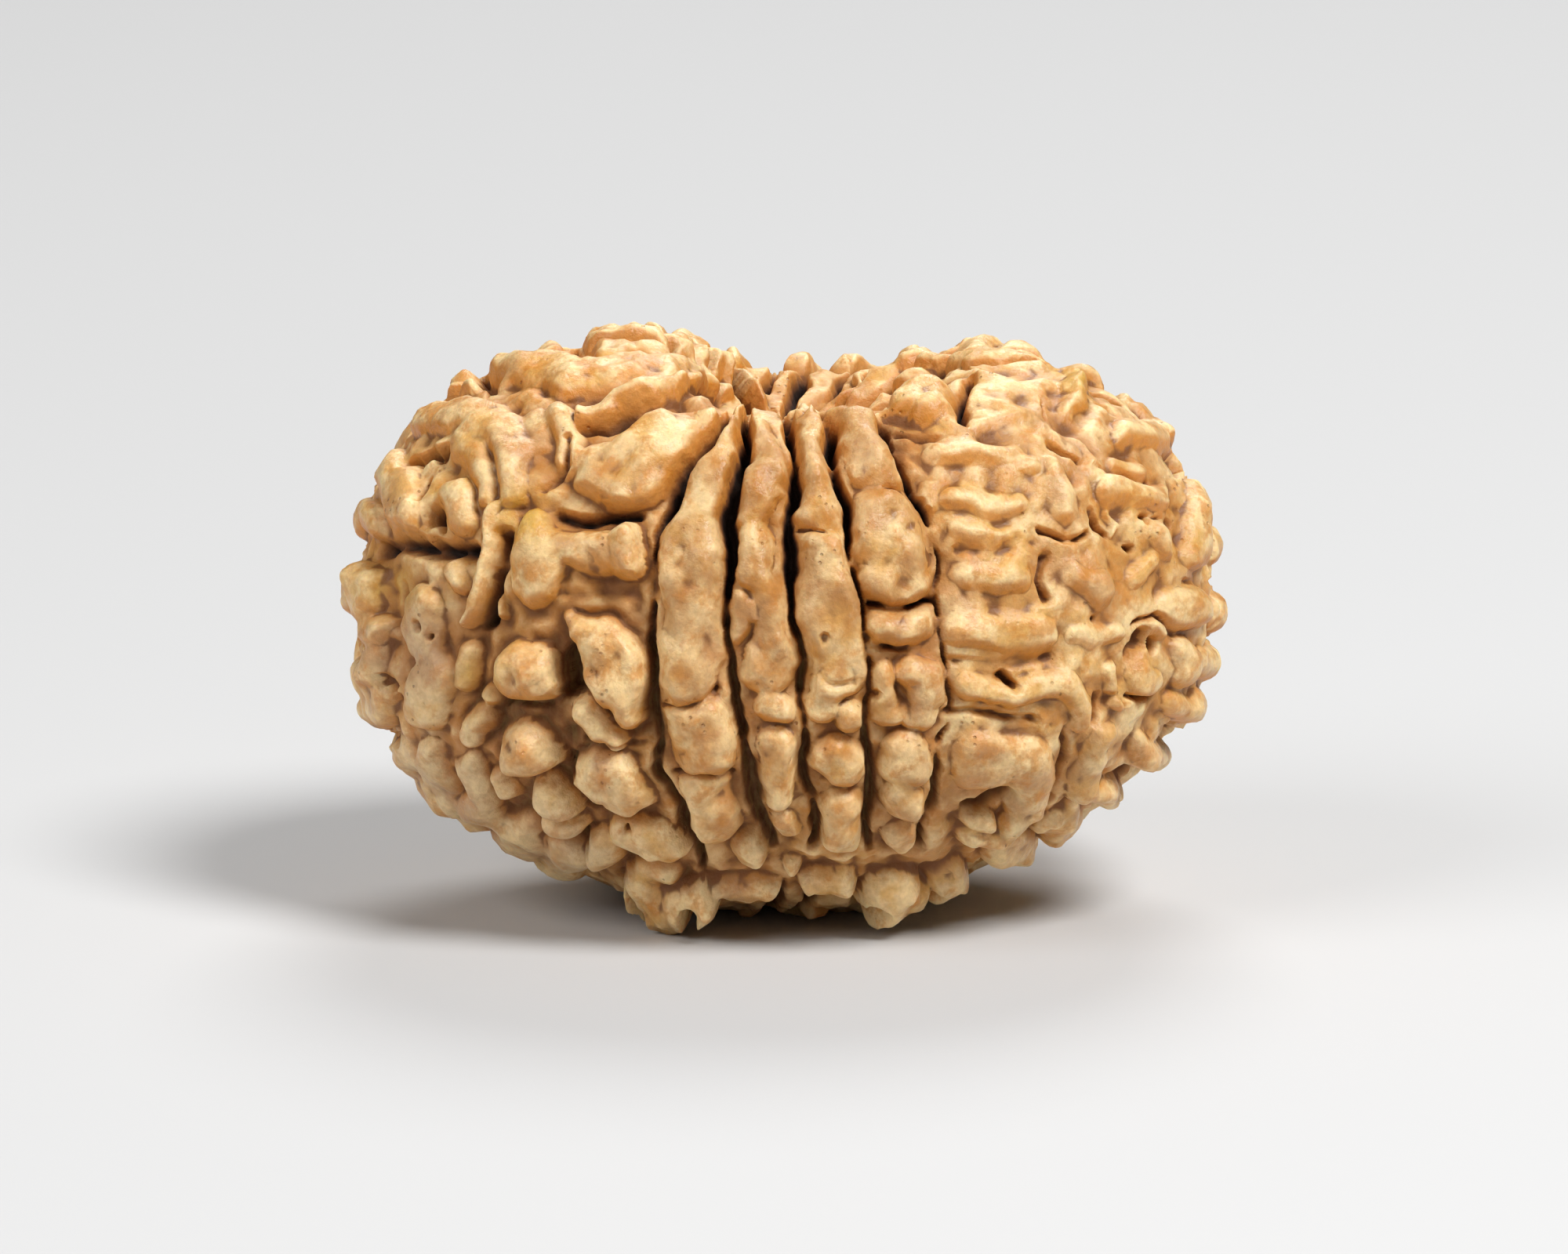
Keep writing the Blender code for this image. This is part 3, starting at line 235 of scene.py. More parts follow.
# Knobs that stand on the outline and run back over it: height share, right, above and half width
RIM_KNOBS = (
    (0.95, -13.7, 23.3, 0.6),
    (0.95, -11.2, 24.0, 1.0),
    (0.92, -9.6, 24.3, 0.9),
    (0.97, -7.2, 25.0, 0.95),
    (0.97, -5.6, 25.1, 1.15),
    (0.93, -4.0, 24.7, 1.1),
    (0.88, -2.5, 24.2, 0.9),
    (1.0, -18.2, 14.8, 1.0),
    (0.97, -18.0, 17.8, 0.95),
    (0.95, -17.3, 11.0, 0.95),
    (1.0, -17.1, 9.7, 0.95),
    (0.85, -15.9, 7.6, 1.2),
    (0.9, -15.0, 6.0, 1.15),
    (0.8, -13.0, 5.2, 1.1),
    (0.8, -11.2, 3.9, 1.2),
    (0.8, -9.2, 3.2, 1.1),
    (0.85, 5.6, 24.2, 0.9),
    (0.95, 8.4, 25.0, 1.25),
    (0.95, 10.2, 24.8, 1.0),
    (1.0, 12.9, 23.9, 0.85),
    (1.02, 15.4, 22.3, 0.7),
    (1.05, 16.0, 21.4, 0.75),
    (0.98, 17.4, 18.4, 1.0),
    (0.98, 18.1, 16.7, 0.95),
    (1.02, 18.3, 13.9, 0.9),
    (0.98, 17.7, 11.6, 0.85),
    (1.02, 17.3, 9.9, 0.7),
    (1.05, 15.4, 7.8, 0.65),
    (0.98, 13.5, 6.2, 0.65),
    (0.9, 11.6, 4.7, 0.9),
    (0.9, 9.6, 3.8, 0.9),
)

# Notches of the outline: the height share at their floor, right, above and half width
RIM_NOTCHES = (
    (0.35, -12.4, 23.4, 0.32),
    (0.4, -8.4, 24.6, 0.26),
    (0.5, -18.3, 16.4, 0.3),
    (0.55, -17.9, 12.5, 0.3),
    (0.45, -16.5, 8.4, 0.3),
    (0.55, -13.9, 5.0, 0.3),
    (0.3, 14.0, 23.2, 0.35),
    (0.05, 16.6, 20.1, 0.42),
    (0.45, 18.2, 15.2, 0.22),
    (0.45, 18.2, 12.7, 0.25),
    (0.1, 16.4, 8.6, 0.4),
    (0.1, 14.4, 6.9, 0.4),
)

FOOT_KNOBS = (
    (0.8, (-6.2, 2.4, 0.5), (-5.0, 2.4, 0.5)),
    (1.3, (-6.1, 1.9, 0.6), (-5.2, 1.4, 0.8), (-4.4, 1.3, 0.8), (-3.4, 1.6, 0.55)),
    (0.8, (-3.2, 1.85, 0.4), (-1.5, 1.75, 0.45), (-0.4, 1.8, 0.35)),
    (0.7, (0.4, 2.9, 0.4), (0.45, 2.7, 0.4)),
    (0.9, (1.4, 2.1, 0.6), (2.5, 2.2, 0.6)),
    (1.25, (4.1, 1.7, 0.8), (5.2, 2.0, 0.75)),
    (1.1, (6.6, 2.2, 0.7), (7.3, 2.5, 0.65)),
)

# The furrows between the narrow faces at the front, from the hole down: right, above and half width
FRONT_FURROWS = (
    ((-2.2, 22.4, 0.24), (-2.7, 21.6, 0.28), (-3.8, 20.4, 0.34), (-4.7, 19.0, 0.3), (-5.4, 17.3, 0.11),
     (-5.6, 15.0, 0.1), (-5.65, 13.5, 0.16), (-5.65, 12.0, 0.24), (-5.5, 9.5, 0.22), (-5.4, 8.5, 0.16),
     (-5.25, 7.0, 0.22), (-4.7, 5.0, 0.3), (-3.8, 3.5, 0.26), (-3.5, 2.4, 0.22)),
    ((-1.5, 21.3, 0.22), (-1.9, 20.0, 0.28), (-2.2, 18.2, 0.34), (-2.45, 16.0, 0.34), (-2.45, 14.9, 0.2),
     (-2.45, 14.0, 0.15), (-2.4, 12.5, 0.17), (-2.1, 10.5, 0.24), (-1.65, 8.0, 0.22), (-1.4, 6.5, 0.3),
     (-1.0, 4.8, 0.32), (-0.5, 3.5, 0.26)),
    ((0.3, 22.0, 0.2), (0.4, 20.3, 0.24), (0.4, 18.5, 0.24), (0.45, 15.5, 0.22), (0.5, 13.5, 0.2),
     (0.8, 10.5, 0.18), (1.0, 8.0, 0.2), (0.95, 6.5, 0.22), (1.2, 5.5, 0.2), (1.4, 3.6, 0.2)),
    ((1.95, 22.0, 0.24), (2.35, 20.0, 0.28), (2.75, 18.0, 0.22), (3.15, 16.0, 0.14), (3.25, 14.5, 0.14),
     (3.55, 12.7, 0.13), (3.6, 10.0, 0.12), (3.6, 8.4, 0.18), (3.75, 6.5, 0.23), (3.8, 5.0, 0.22),
     (3.6, 3.4, 0.22)),
    ((4.3, 22.0, 0.2), (4.6, 21.0, 0.18), (5.3, 19.5, 0.18), (5.75, 18.5, 0.2), (6.5, 16.6, 0.1),
     (6.55, 14.5, 0.11), (6.9, 12.0, 0.12), (7.05, 10.0, 0.13), (6.85, 8.0, 0.14), (6.5, 6.5, 0.18),
     (6.3, 5.0, 0.24), (6.0, 3.6, 0.22)),
)
FAR_FURROW_WIDTHS = (0.16, 0.34)
FULL_FURROW_WIDTH = 0.24  # a narrower furrow is also shallower
FURROW_DEPTH = 0.2

# Turns of the furrows round the bore in degrees, 0 at the right end and 90 at the back
FURROW_TURNS = (
    -158, -140, -122, -107, -89, -78, -67, -55, -30, -4, 20, 41, 58, 70, 80, 90, 101, 113, 131, 150, 173,
)
FRONT_TURNS = (-170, -10)
POLE_RISE = 76
FOOT_RISE = -52
TAPER_RISE = 52  # above this the faces sink towards the bore
KNOB_SPREAD = 0.2  # how much wider than drawn the fine knobs stand, so that their flanks meet
MOAT_WIDTH = 0.4  # the sunk strip round each knob
MOAT_DEPTH = 0.12
MOUTH_REACH = 4.5  # round the bore the furrows are shallow
FUSING = 7  # how softly neighbouring knobs run into each other: less is softer
CROWN_DROP = 0.26  # how much lower a knob's edge is than its middle
NARROW_CROWN_DROP = 0.08  # and how much more that is on the narrow faces
OUTLINE_STRAY = 0.11  # how far the outlines wander from the drawn ones, in millimetres
FINE_STRAY = 0.025
GROUND = 0.48  # the share of the relief that stands between the knobs
RIGHT_RISE = 0.06  # how much more of it stands at the right
MERGED_RISE = 0.2  # and in the broad masses
SCATTERED_DROP = 0.1  # how much less stands low on the left, where the knobs are apart
NARROW_GROUND = 0.6  # what stands on the narrow faces at the front
NARROW_DROP = 0.12  # how much less of it at their lower ends
MOUTH_RISE = 0.15  # how much more stands round the bore
FIBRE_FILL = 0.22  # how much less deep the furrows are where fibres half fill them
FIBRE_TOP = 15.0  # above this, as seen from the front, the furrows are clear of fibres
PIT_WALL = 0.16
SLIMMEST_FACE = 1.1  # a face is left without knobs where it is slimmer than this
COLUMN_WIDTH = 3.6  # a wide face has a column of knobs for each such width
WIDEST_KNOB = 1.5  # half of it
FURROW_WANDER = 1.3  # degrees
FAR_MARK_COUNT = 420
LEAST_HEIGHT = -0.35

# Where knobs run together into broad masses: strength, left, right, low and high edge, and the edge's fade
MERGED_ZONES = (
    (1.0, 5.0, 40.0, 6.5, 40.0, 3.0),
    (1.0, -40.0, -7.5, 15.5, 40.0, 3.0),
    (0.7, -40.0, -13.0, -40.0, 40.0, 2.0),
    (0.9, -40.0, -8.0, -40.0, 6.0, 2.0),
)
SCATTERED_ZONE = (-14.5, -5.0, 4.0, 15.0, 2.0)
SMOOTH_ZONE = (5.0, 14.0, 15.0, 40.0, 2.0)

# Small forms between the knobs at the front: height share, then right, above and half width
FRONT_LUMPS = (
    (0.72, (-12.4, 14.4, 0.3), (-12.2, 13.6, 0.3)),
    (0.75, (-9.3, 13.4, 0.35), (-9.1, 12.8, 0.3)),
    (0.7, (-12.8, 10.2, 0.4), (-12.6, 9.9, 0.4)),
    (0.8, (-1.9, 14.5, 0.42), (-1.8, 13.4, 0.4), (-2.0, 12.9, 0.3)),
    (0.78, (-1.45, 14.2, 0.2), (-1.3, 13.6, 0.2)),
    (0.98, (7.85, 16.2, 0.18), (7.75, 15.4, 0.22), (7.8, 14.9, 0.18)),
    (0.85, (10.9, 13.9, 0.4), (11.8, 14.2, 0.4)),
    (0.83, (15.6, 13.3, 0.35), (16.2, 12.9, 0.35)),
    (0.8, (12.9, 17.0, 0.35), (13.4, 16.8, 0.35)),
    (0.8, (6.4, 19.4, 0.5), (6.2, 18.3, 0.5)),
    (0.82, (7.2, 21.9, 0.6), (9.4, 22.0, 0.6)),
    (0.88, (8.3, 22.4, 0.35), (8.6, 22.3, 0.35)),
    (0.8, (8.0, 11.8, 0.4), (10.8, 11.7, 0.4)),
    (0.8, (11.2, 21.8, 0.4), (11.0, 21.2, 0.4)),
    (0.8, (12.0, 4.9, 0.4), (12.4, 5.4, 0.4)),
    (0.85, (7.9, 4.75, 0.4), (8.9, 4.9, 0.42)),
)

# Creases at the front: depth share, half width, then the line's places
FRONT_CREASES = (
    (0.3, 0.12, (-4.9, 9.6), (-3.9, 10.1), (-3.0, 10.6)),
    (0.3, 0.12, (-4.6, 6.9), (-3.4, 6.9), (-2.2, 6.8)),
    (0.22, 0.1, (0.8, 17.3), (1.7, 17.3)),
    (0.22, 0.1, (3.8, 19.0), (5.0, 19.0)),
    (0.45, 0.14, (3.7, 14.1), (5.0, 14.0), (6.4, 14.1)),
    (0.4, 0.14, (3.9, 12.4), (5.4, 12.4)),
    (0.35, 0.14, (17.0, 15.15), (18.2, 15.1)),
    (0.7, 0.2, (9.3, 11.25), (9.75, 10.95)),
    (0.2, 0.28, (4.9, 10.7), (5.3, 10.2), (5.5, 9.4)),
    (0.14, 0.2, (1.5, 11.4), (2.2, 10.9), (2.9, 10.9)),
    (0.7, 0.34, (-17.3, 16.6), (-15.6, 16.6), (-14.6, 16.4), (-13.4, 16.3)),
    (0.55, 0.28, (-11.95, 17.0), (-12.1, 15.8), (-12.4, 14.6), (-12.8, 13.3)),
    (0.35, 0.14, (-12.6, 17.7), (-12.8, 17.0)),
    (0.4, 0.16, (-14.9, 18.1), (-14.65, 17.2)),
    (0.35, 0.2, (-9.1, 21.1), (-9.4, 20.2), (-10.2, 19.2)),
    (0.45, 0.25, (-9.4, 18.1), (-8.0, 17.9), (-6.4, 17.9)),
    (0.35, 0.16, (-11.6, 17.9), (-11.25, 17.2)),
    (0.6, 0.2, (-8.4, 21.9), (-7.4, 21.95), (-6.5, 22.3)),
    (0.25, 0.2, (-16.4, 15.0), (-16.4, 13.6), (-16.7, 12.4)),
    (0.3, 0.14, (-16.9, 11.3), (-16.7, 10.8), (-16.3, 10.0)),
    (0.3, 0.2, (-12.5, 9.6), (-11.4, 9.8), (-10.3, 9.8)),
    (0.3, 0.2, (-9.3, 8.6), (-9.3, 7.6), (-9.0, 6.7)),
    (0.3, 0.18, (-8.6, 8.1), (-7.4, 8.1), (-6.0, 8.0)),
    (0.1, 0.2, (7.4, 16.5), (9.0, 16.45), (10.6, 16.6)),
    (0.18, 0.24, (7.0, 11.75), (9.0, 11.75), (11.3, 11.9)),
    (0.26, 0.2, (7.0, 9.5), (9.5, 9.4), (11.2, 9.2), (11.6, 8.8)),
    (0.3, 0.16, (12.0, 9.0), (11.9, 7.4), (11.4, 5.4)),
    (0.35, 0.14, (13.4, 10.2), (13.4, 9.2)),
    (1.1, 0.34, (8.1, 5.35), (8.8, 5.55), (9.6, 5.95)),
    (0.65, 0.24, (7.75, 23.8), (7.8, 22.9), (7.7, 22.0)),
    (0.3, 0.16, (5.0, 24.0), (6.2, 24.2), (7.6, 24.25)),
    (0.3, 0.2, (5.0, 21.7), (6.5, 21.4), (7.6, 21.6)),
    (0.12, 0.35, (-9.4, 14.5), (-7.8, 14.6), (-6.4, 14.5)),
    (0.25, 0.12, (6.2, 24.05), (8.0, 24.2), (9.4, 23.9), (10.7, 23.1), (11.0, 22.2)),
    (0.35, 0.18, (11.2, 16.0), (11.1, 15.2), (11.5, 14.4)),
    (0.3, 0.18, (11.5, 20.9), (12.4, 20.5)),
    (0.35, 0.16, (10.9, 17.1), (12.1, 16.9), (13.0, 17.0)),
    (0.35, 0.18, (13.2, 18.2), (13.4, 17.5), (13.9, 17.2)),
    (0.35, 0.14, (14.9, 17.9), (15.7, 17.8), (16.6, 17.7)),
    (0.3, 0.16, (13.4, 22.5), (14.2, 22.2)),
    (0.25, 0.14, (13.5, 19.9), (14.4, 19.5), (15.6, 19.5)),
    (0.3, 0.14, (15.0, 13.2), (15.9, 13.6), (16.7, 13.1)),
    (0.3, 0.14, (14.7, 10.4), (15.8, 10.3)),
)

# Pits at the front: right, above, half width and depth share
FRONT_PITS = (
    (-15.3, 20.5, 0.5, 1.0),
    (-15.9, 20.3, 0.3, 0.8),
    (-14.7, 20.7, 0.4, 0.7),
    (-15.15, 19.3, 0.32, 0.9),
    (-15.5, 18.8, 0.2, 0.6),
    (-15.0, 17.7, 0.36, 0.8),
    (-11.4, 17.7, 0.22, 0.4),
    (-9.1, 11.5, 0.58, 1.3),
    (-9.2, 10.6, 0.48, 1.2),
    (-15.3, 13.4, 0.2, 0.25),
    (-14.9, 12.9, 0.16, 0.2),
    (-15.9, 11.9, 0.3, 0.15),
    (-16.9, 11.0, 0.2, 0.3),
    (-6.5, 4.5, 0.2, 0.4),
    (-8.4, 5.2, 0.35, 0.5),
    (-8.6, 3.9, 0.4, 0.5),
    (-1.3, 22.5, 0.25, 0.6),
    (10.8, 24.2, 0.2, 0.35),
    (13.6, 22.35, 0.22, 0.4),
    (15.4, 17.7, 0.2, 0.35),
    (13.5, 17.6, 0.3, 0.3),
    (14.9, 16.65, 0.2, 0.4),
    (15.3, 12.4, 0.4, 0.5),
    (15.8, 12.3, 0.3, 0.55),
    (14.9, 12.0, 0.22, 0.45),
    (16.1, 12.5, 0.16, 0.4),
    (15.3, 10.35, 0.2, 0.35),
    (11.4, 9.0, 0.26, 0.45),
    (13.3, 13.45, 0.14, 0.3),
    (1.85, 12.6, 0.24, 0.14),
    (3.6, 12.6, 0.22, 0.4),
    (3.9, 10.4, 0.2, 0.3),
    (5.8, 18.7, 0.25, 0.4),
)

# Places where the wood shows amber, where it shows yellow olive and where it is grey: right, above, radius
AMBER_SPOTS = (
    (-6.5, 16.0, 1.0),
    (-6.3, 9.5, 0.8),
    (-6.2, 5.5, 0.8),
    (-4.1, 10.9, 0.9),
    (-4.1, 8.6, 1.1),
    (-11.0, 11.4, 1.2),
    (-11.0, 7.8, 1.2),
    (-17.3, 17.8, 0.9),
    (-13.6, 23.0, 0.8),
    (-10.6, 24.0, 1.0),
    (6.8, 19.2, 0.8),
    (12.5, 8.9, 0.9),
    (8.2, 7.6, 1.2),
    (16.8, 9.6, 0.9),
    (15.0, 7.6, 0.9),
    (2.2, 8.2, 0.9),
    (-0.7, 11.2, 0.8),
    (5.7, 12.0, 0.8),
    (-2.9, 20.0, 0.7),
    (4.1, 19.4, 0.9),
    (-7.4, 12.2, 0.7),
    (13.0, 15.2, 0.9),
    (-4.9, 10.3, 0.6),
    (-3.4, 7.6, 0.9),
    (-0.4, 10.6, 0.5),
    (-0.3, 6.9, 0.6),
    (1.9, 17.6, 0.7),
    (2.0, 19.3, 0.8),
    (2.6, 9.2, 0.5),
    (2.5, 4.9, 0.7),
    (4.4, 10.9, 0.5),
    (-2.7, 5.1, 0.7),
    (5.3, 4.4, 0.6),
    (-1.0, 18.1, 0.5),
)
OLIVE_SPOTS = (
    (-10.6, 17.9, 1.2),
    (12.5, 24.0, 0.9),
    (-13.0, 11.2, 0.9),
    (-16.4, 14.8, 1.0),
)
GREY_SPOTS = (
    (-14.6, 5.6, 3.2),
    (-15.2, 12.0, 2.2),
    (-9.0, 3.6, 2.4),
)


def eased(share):
    share = np.clip(share, 0, 1)
    return share * share * (3 - 2 * share)


def fullness(places):
    """Under 1 inside the smooth form, 1 on its skin: two domes beside the hole, a swollen base and its dish."""
    x = places[:, 0]
    y = places[:, 1]
    z = places[:, 2] - WIDEST_LEVEL
    from_bore = x - BORE_PLACE
    across = np.where(from_bore < 0, (from_bore / SADDLE_LEFT) ** 2, np.abs(from_bore / SADDLE_RIGHT) ** 3)
    along = y / np.where(y < 0, SADDLE_FRONT, SADDLE_BACK)
    saddle = SADDLE_DEPTH * np.exp(-across - along**2)
    dish = DISH_DEPTH * np.exp(-((from_bore / DISH_LENGTH) ** 2) - (y / DISH_WIDTH) ** 2)
    swell = SWELL * np.exp(-(((x - SWELL_PLACE) / SWELL_LENGTH) ** 4))
    away = eased(np.abs(z) / POLE_FADE)
    above = z > 0
    z = np.where(above, z + saddle * away, z + (swell - dish) * away)
    power = np.where(above, ROUND_TOP, ROUND_BASE)
    half_height = np.where(above, RISE, DROP - LEAN * np.tanh(x / 5))
    plan = np.abs(x / HALF_LENGTH) ** ROUND_PLAN + np.abs(y / HALF_DEPTH) ** ROUND_PLAN
    return (plan ** (power / ROUND_PLAN) + np.abs(z / half_height) ** power) ** (1 / power)


def skin_places(directions):
    """Where a ray from the centre in each direction leaves the smooth form."""
    directions = directions / np.linalg.norm(directions, axis=1, keepdims=True)
    reach = np.full(len(directions), HALF_DEPTH)
    for _ in range(14):
        reach = reach / fullness(CENTRE + directions * reach[:, None])
    return CENTRE + directions * reach[:, None]


def outward(places):
    """The smooth form's normals."""
    step = 0.02
    slope = np.empty_like(places)
    for axis in range(3):
        aside = np.zeros(3)
        aside[axis] = step
        slope[:, axis] = fullness(places + aside) - fullness(places - aside)
    return slope / np.linalg.norm(slope, axis=1, keepdims=True)


def first_hit(right, above):
    """Where the eye's ray through a place of the drawing meets the skin, or the outline's nearest place."""
    target = AIM + np.array([right, 0, 0]) + (above - SIGHT_AIM * math.cos(SIGHT_SLOPE)) * SIGHT_UP
    ray = (target - EYE) / np.linalg.norm(target - EYE)
    line = EYE + (SIGHT_DISTANCE + np.linspace(-24, 20, 441))[:, None] * ray
    full = fullness(line)
    inside = np.nonzero(full < 1)[0]
    if not len(inside):
        return skin_places((line[np.argmin(full)] - CENTRE)[None])[0]
    after = inside[0]
    share = (full[after - 1] - 1) / (full[after - 1] - full[after])
    return line[after - 1] + share * (line[after] - line[after - 1])


def drawn_place(right, above):
    """The skin place under a drawn one, moved out so that the knob and its visible side fill what is drawn."""
    normal = outward(first_hit(right, above)[None])[0]
    lift = 0.3 * RELIEF
    return first_hit(right + lift * normal[0], above + lift * normal @ SIGHT_UP)


def ripple(places, length, seed):
    """A smooth field of about unit size, summed from waves of about one length in drawn directions."""
    draw = np.random.default_rng(seed)
    count = 24
    waves = draw.normal(size=(count, 3))
    waves /= np.linalg.norm(waves, axis=1, keepdims=True)
    waves *= (2 * math.pi / (length * draw.uniform(0.75, 1.45, count)))[:, None]
    starts = draw.uniform(0, 2 * math.pi, count)
    total = np.zeros(len(places))
    for wave, start in zip(waves, starts):
        total += np.sin(places @ wave + start)
    return total * math.sqrt(2 / count)


def squeezed(places, depth_share):
    """Shortens what lies along the line of sight, so that a knob seen aslant runs back over the curve."""
    return places - (1 - depth_share) * (places @ TOWARDS_EYE)[:, None] * TOWARDS_EYE


def spine_gaps(places, spine, widths):
    """How far each place is from a knob's spine: over its half width, and in millimetres past its edge."""
    share = np.full(len(places), 1e9)
    past_edge = np.full(len(places), 1e9)
    for start, end, from_width, to_width in zip(spine, spine[1:], widths, widths[1:]):
        along = end - start
        part = np.clip((places - start) @ along / max(along @ along, 1e-9), 0, 1)
        gap = np.linalg.norm(places - start - part[:, None] * along, axis=1)
        width = from_width + part * (to_width - from_width)
        share = np.minimum(share, gap / width)
        past_edge = np.minimum(past_edge, gap - width)
    return share, past_edge


def over_the_rim(right, above):
    """A short line on the skin that crosses the outline at a drawn place and runs on behind it."""
    start = drawn_place(right, above)
    behind = (-0.5, 1.0, 2.5, 4.0)
    return np.array([skin_places((start - CENTRE - back * TOWARDS_EYE)[None])[0] for back in behind])


def laid_knobs(drawn):
    """Drawn knobs, laid on the skin: height, spine, half widths and depth share."""
    knobs = []
    for height, *points in drawn:
        spine = np.array([drawn_place(right, above) for right, above, _ in points])
        widths = np.array([width for _, _, width in points])
        facing = float(np.mean(outward(spine) @ TOWARDS_EYE))
        knobs.append((height, spine, widths, min(max(facing, 0.35), 1.0)))
    return knobs


def front_knobs():
    """The knobs of the front, and those that stand on the outline and run back over it."""
    knobs = laid_knobs(NARROW_FACES + LEFT_FACES + RIGHT_FACES + BACK_RIM + FOOT_KNOBS)
    for height, right, above, width in RIM_KNOBS:
        spine = over_the_rim(right, above)
        knobs.append((height, spine, np.full(len(spine), width), 1.0))
    return knobs


def ridge_ends():
    """The tops of the narrow front faces, which run on over the rim and sink into the bore."""
    tops = [drawn_place(*line[0][:2]) for line in FRONT_FURROWS]
    ends = []
    for left, right in zip(tops, tops[1:]):
        half = 0.42 * np.linalg.norm(left - right)
        middle = (left + right) / 2
        for start, end, height in ((0.0, 0.2, 0.8), (0.4, 0.75, 0.6)):
            spine = np.array([towards_bore(middle, share) for share in (start, end)])
            widths = half * np.array([1.1 - start, 1.1 - end])
            ends.append((height, spine, widths, 1.0))
    return ends


def ring_place(turn, rise):
    """The skin place at a turn round the bore and a rise above the widest level, both in degrees."""
    turn = math.radians(turn)
    rise = math.radians(rise)
    aside = BORE_PLACE * math.sin(rise) ** 2
    direction = np.array([[
        math.cos(turn) * math.cos(rise) * HALF_LENGTH + aside,
        math.sin(turn) * math.cos(rise) * HALF_DEPTH,
        math.sin(rise) * RISE,
    ]])
    return skin_places(direction)[0]


def towards_bore(place, share):
    """The skin place this share of the way from a place at the top to the bore's mouth."""
    mouth = skin_places(np.array([[BORE_PLACE, 0, RISE]]))[0]
    return skin_places(((1 - share) * (place - CENTRE) + share * (mouth - CENTRE))[None])[0]


def sunk_share(rise):
    """How much of its height a face keeps on its way to the bore."""
    return 1 - 0.5 * eased((abs(rise) - TAPER_RISE) / (POLE_RISE - TAPER_RISE))


def far_knobs(front):
    """The knobs of the back and the underside, by rule: long ones on narrow faces, short ones on wide faces."""
    draw = np.random.default_rng(5)
    front_spines = np.concatenate([spine for _, spine, _, _ in front])
    front_widths = np.concatenate([widths for _, _, widths, _ in front])
    knobs = []
    for left, right in zip(FURROW_TURNS, FURROW_TURNS[1:] + (FURROW_TURNS[0] + 360,)):
        rise = float(POLE_RISE)
        while rise > -POLE_RISE:
            face_width = np.linalg.norm(ring_place(left, rise) - ring_place(right, rise))
            if face_width < SLIMMEST_FACE:
                rise -= 3
                continue
            columns = max(1, round(face_width / COLUMN_WIDTH))
            short = rise < TAPER_RISE and (columns > 1 or draw.random() < 0.4)
            step = draw.uniform(1.9, 3.3) if short else draw.uniform(3.0, 6.0)
            for column in range(columns):
                turn = left + (right - left) * (column + 0.5) / columns
                half = min(face_width / columns * draw.uniform(0.36, 0.46), WIDEST_KNOB)
                length = max(step - 1.8 * half, 0.1)
                shift = draw.uniform(-0.25, 0.25) * step
                tilt = draw.uniform(-0.5, 0.5) * (1.0 if columns > 1 else 0.25)
                here = ring_place(turn, rise)
                rise_mm = max(np.linalg.norm(ring_place(turn, rise - 2) - here) / 2, 0.05)
                turn_mm = max(np.linalg.norm(ring_place(turn + 2, rise) - here) / 2, 0.02)
                spine = np.array([
                    ring_place(
                        turn + tilt * (share - 0.5) * length / turn_mm,
                        rise - (share * length + 0.9 * half + shift) / rise_mm,
                    )
                    for share in (0.0, 0.5, 1.0)
                ])
                height = draw.uniform(0.8, 1.05) * sunk_share(rise)
                widths = half * draw.uniform(0.8, 1.1, 3)
                middle = spine[1:2]
                faces_eye = outward(middle)[0] @ TOWARDS_EYE > (0.3 if rise > TAPER_RISE else 0.04)
                clear = (np.linalg.norm(front_spines - middle, axis=1) - front_widths).min()
                if not faces_eye and clear > 0.8 * widths.max():
                    knobs.append((height, spine, widths, 1.0))
            rise -= step / rise_mm
    return knobs


def furrow_lines():
    """Each furrow's places on the skin and its half widths: the drawn ones, then those round the rest."""
    lines = []
    for drawn in FRONT_FURROWS:
        line = [drawn_place(right, above) for right, above, _ in drawn]
        line = [towards_bore(line[0], share) for share in (0.9, 0.6, 0.3)] + line
        widths = [width for _, _, width in drawn]
        lines.append((np.array(line), np.array(3 * widths[:1] + widths)))
    draw = np.random.default_rng(9)
    for turn in FURROW_TURNS:
        at_front = FRONT_TURNS[0] < turn < FRONT_TURNS[1]
        start = draw.uniform(0, 6)
        rises = range(FOOT_RISE if at_front else POLE_RISE, -POLE_RISE - 4, -6)
        wander = [FURROW_WANDER * math.sin(start + rise / 14) for rise in rises]
        line = np.array([ring_place(turn + aside, rise) for aside, rise in zip(wander, rises)])
        lines.append((line, draw.uniform(*FAR_FURROW_WIDTHS, len(line))))
    return lines


def near_finder(places):
    """A function that lists the places within a distance of a middle, found quickly in slabs along X."""
    order = np.argsort(places[:, 0])
    along = places[order, 0]

    def near(middle, reach):
        first, last = np.searchsorted(along, (middle[0] - reach, middle[0] + reach))
        slab = order[first:last]
        return slab[np.linalg.norm(places[slab] - middle, axis=1) < reach]

    return near


def fine_marks():
    """Small knobs, creases and pits listed between the main ones, on the skin."""
    creases = [
        (depth, half, np.array([drawn_place(*point) for point in points]))
        for depth, half, *points in FRONT_CREASES
    ]
    pits = [(depth, half, drawn_place(right, above)) for right, above, half, depth in FRONT_PITS]
    return laid_knobs(FRONT_LUMPS), creases, pits


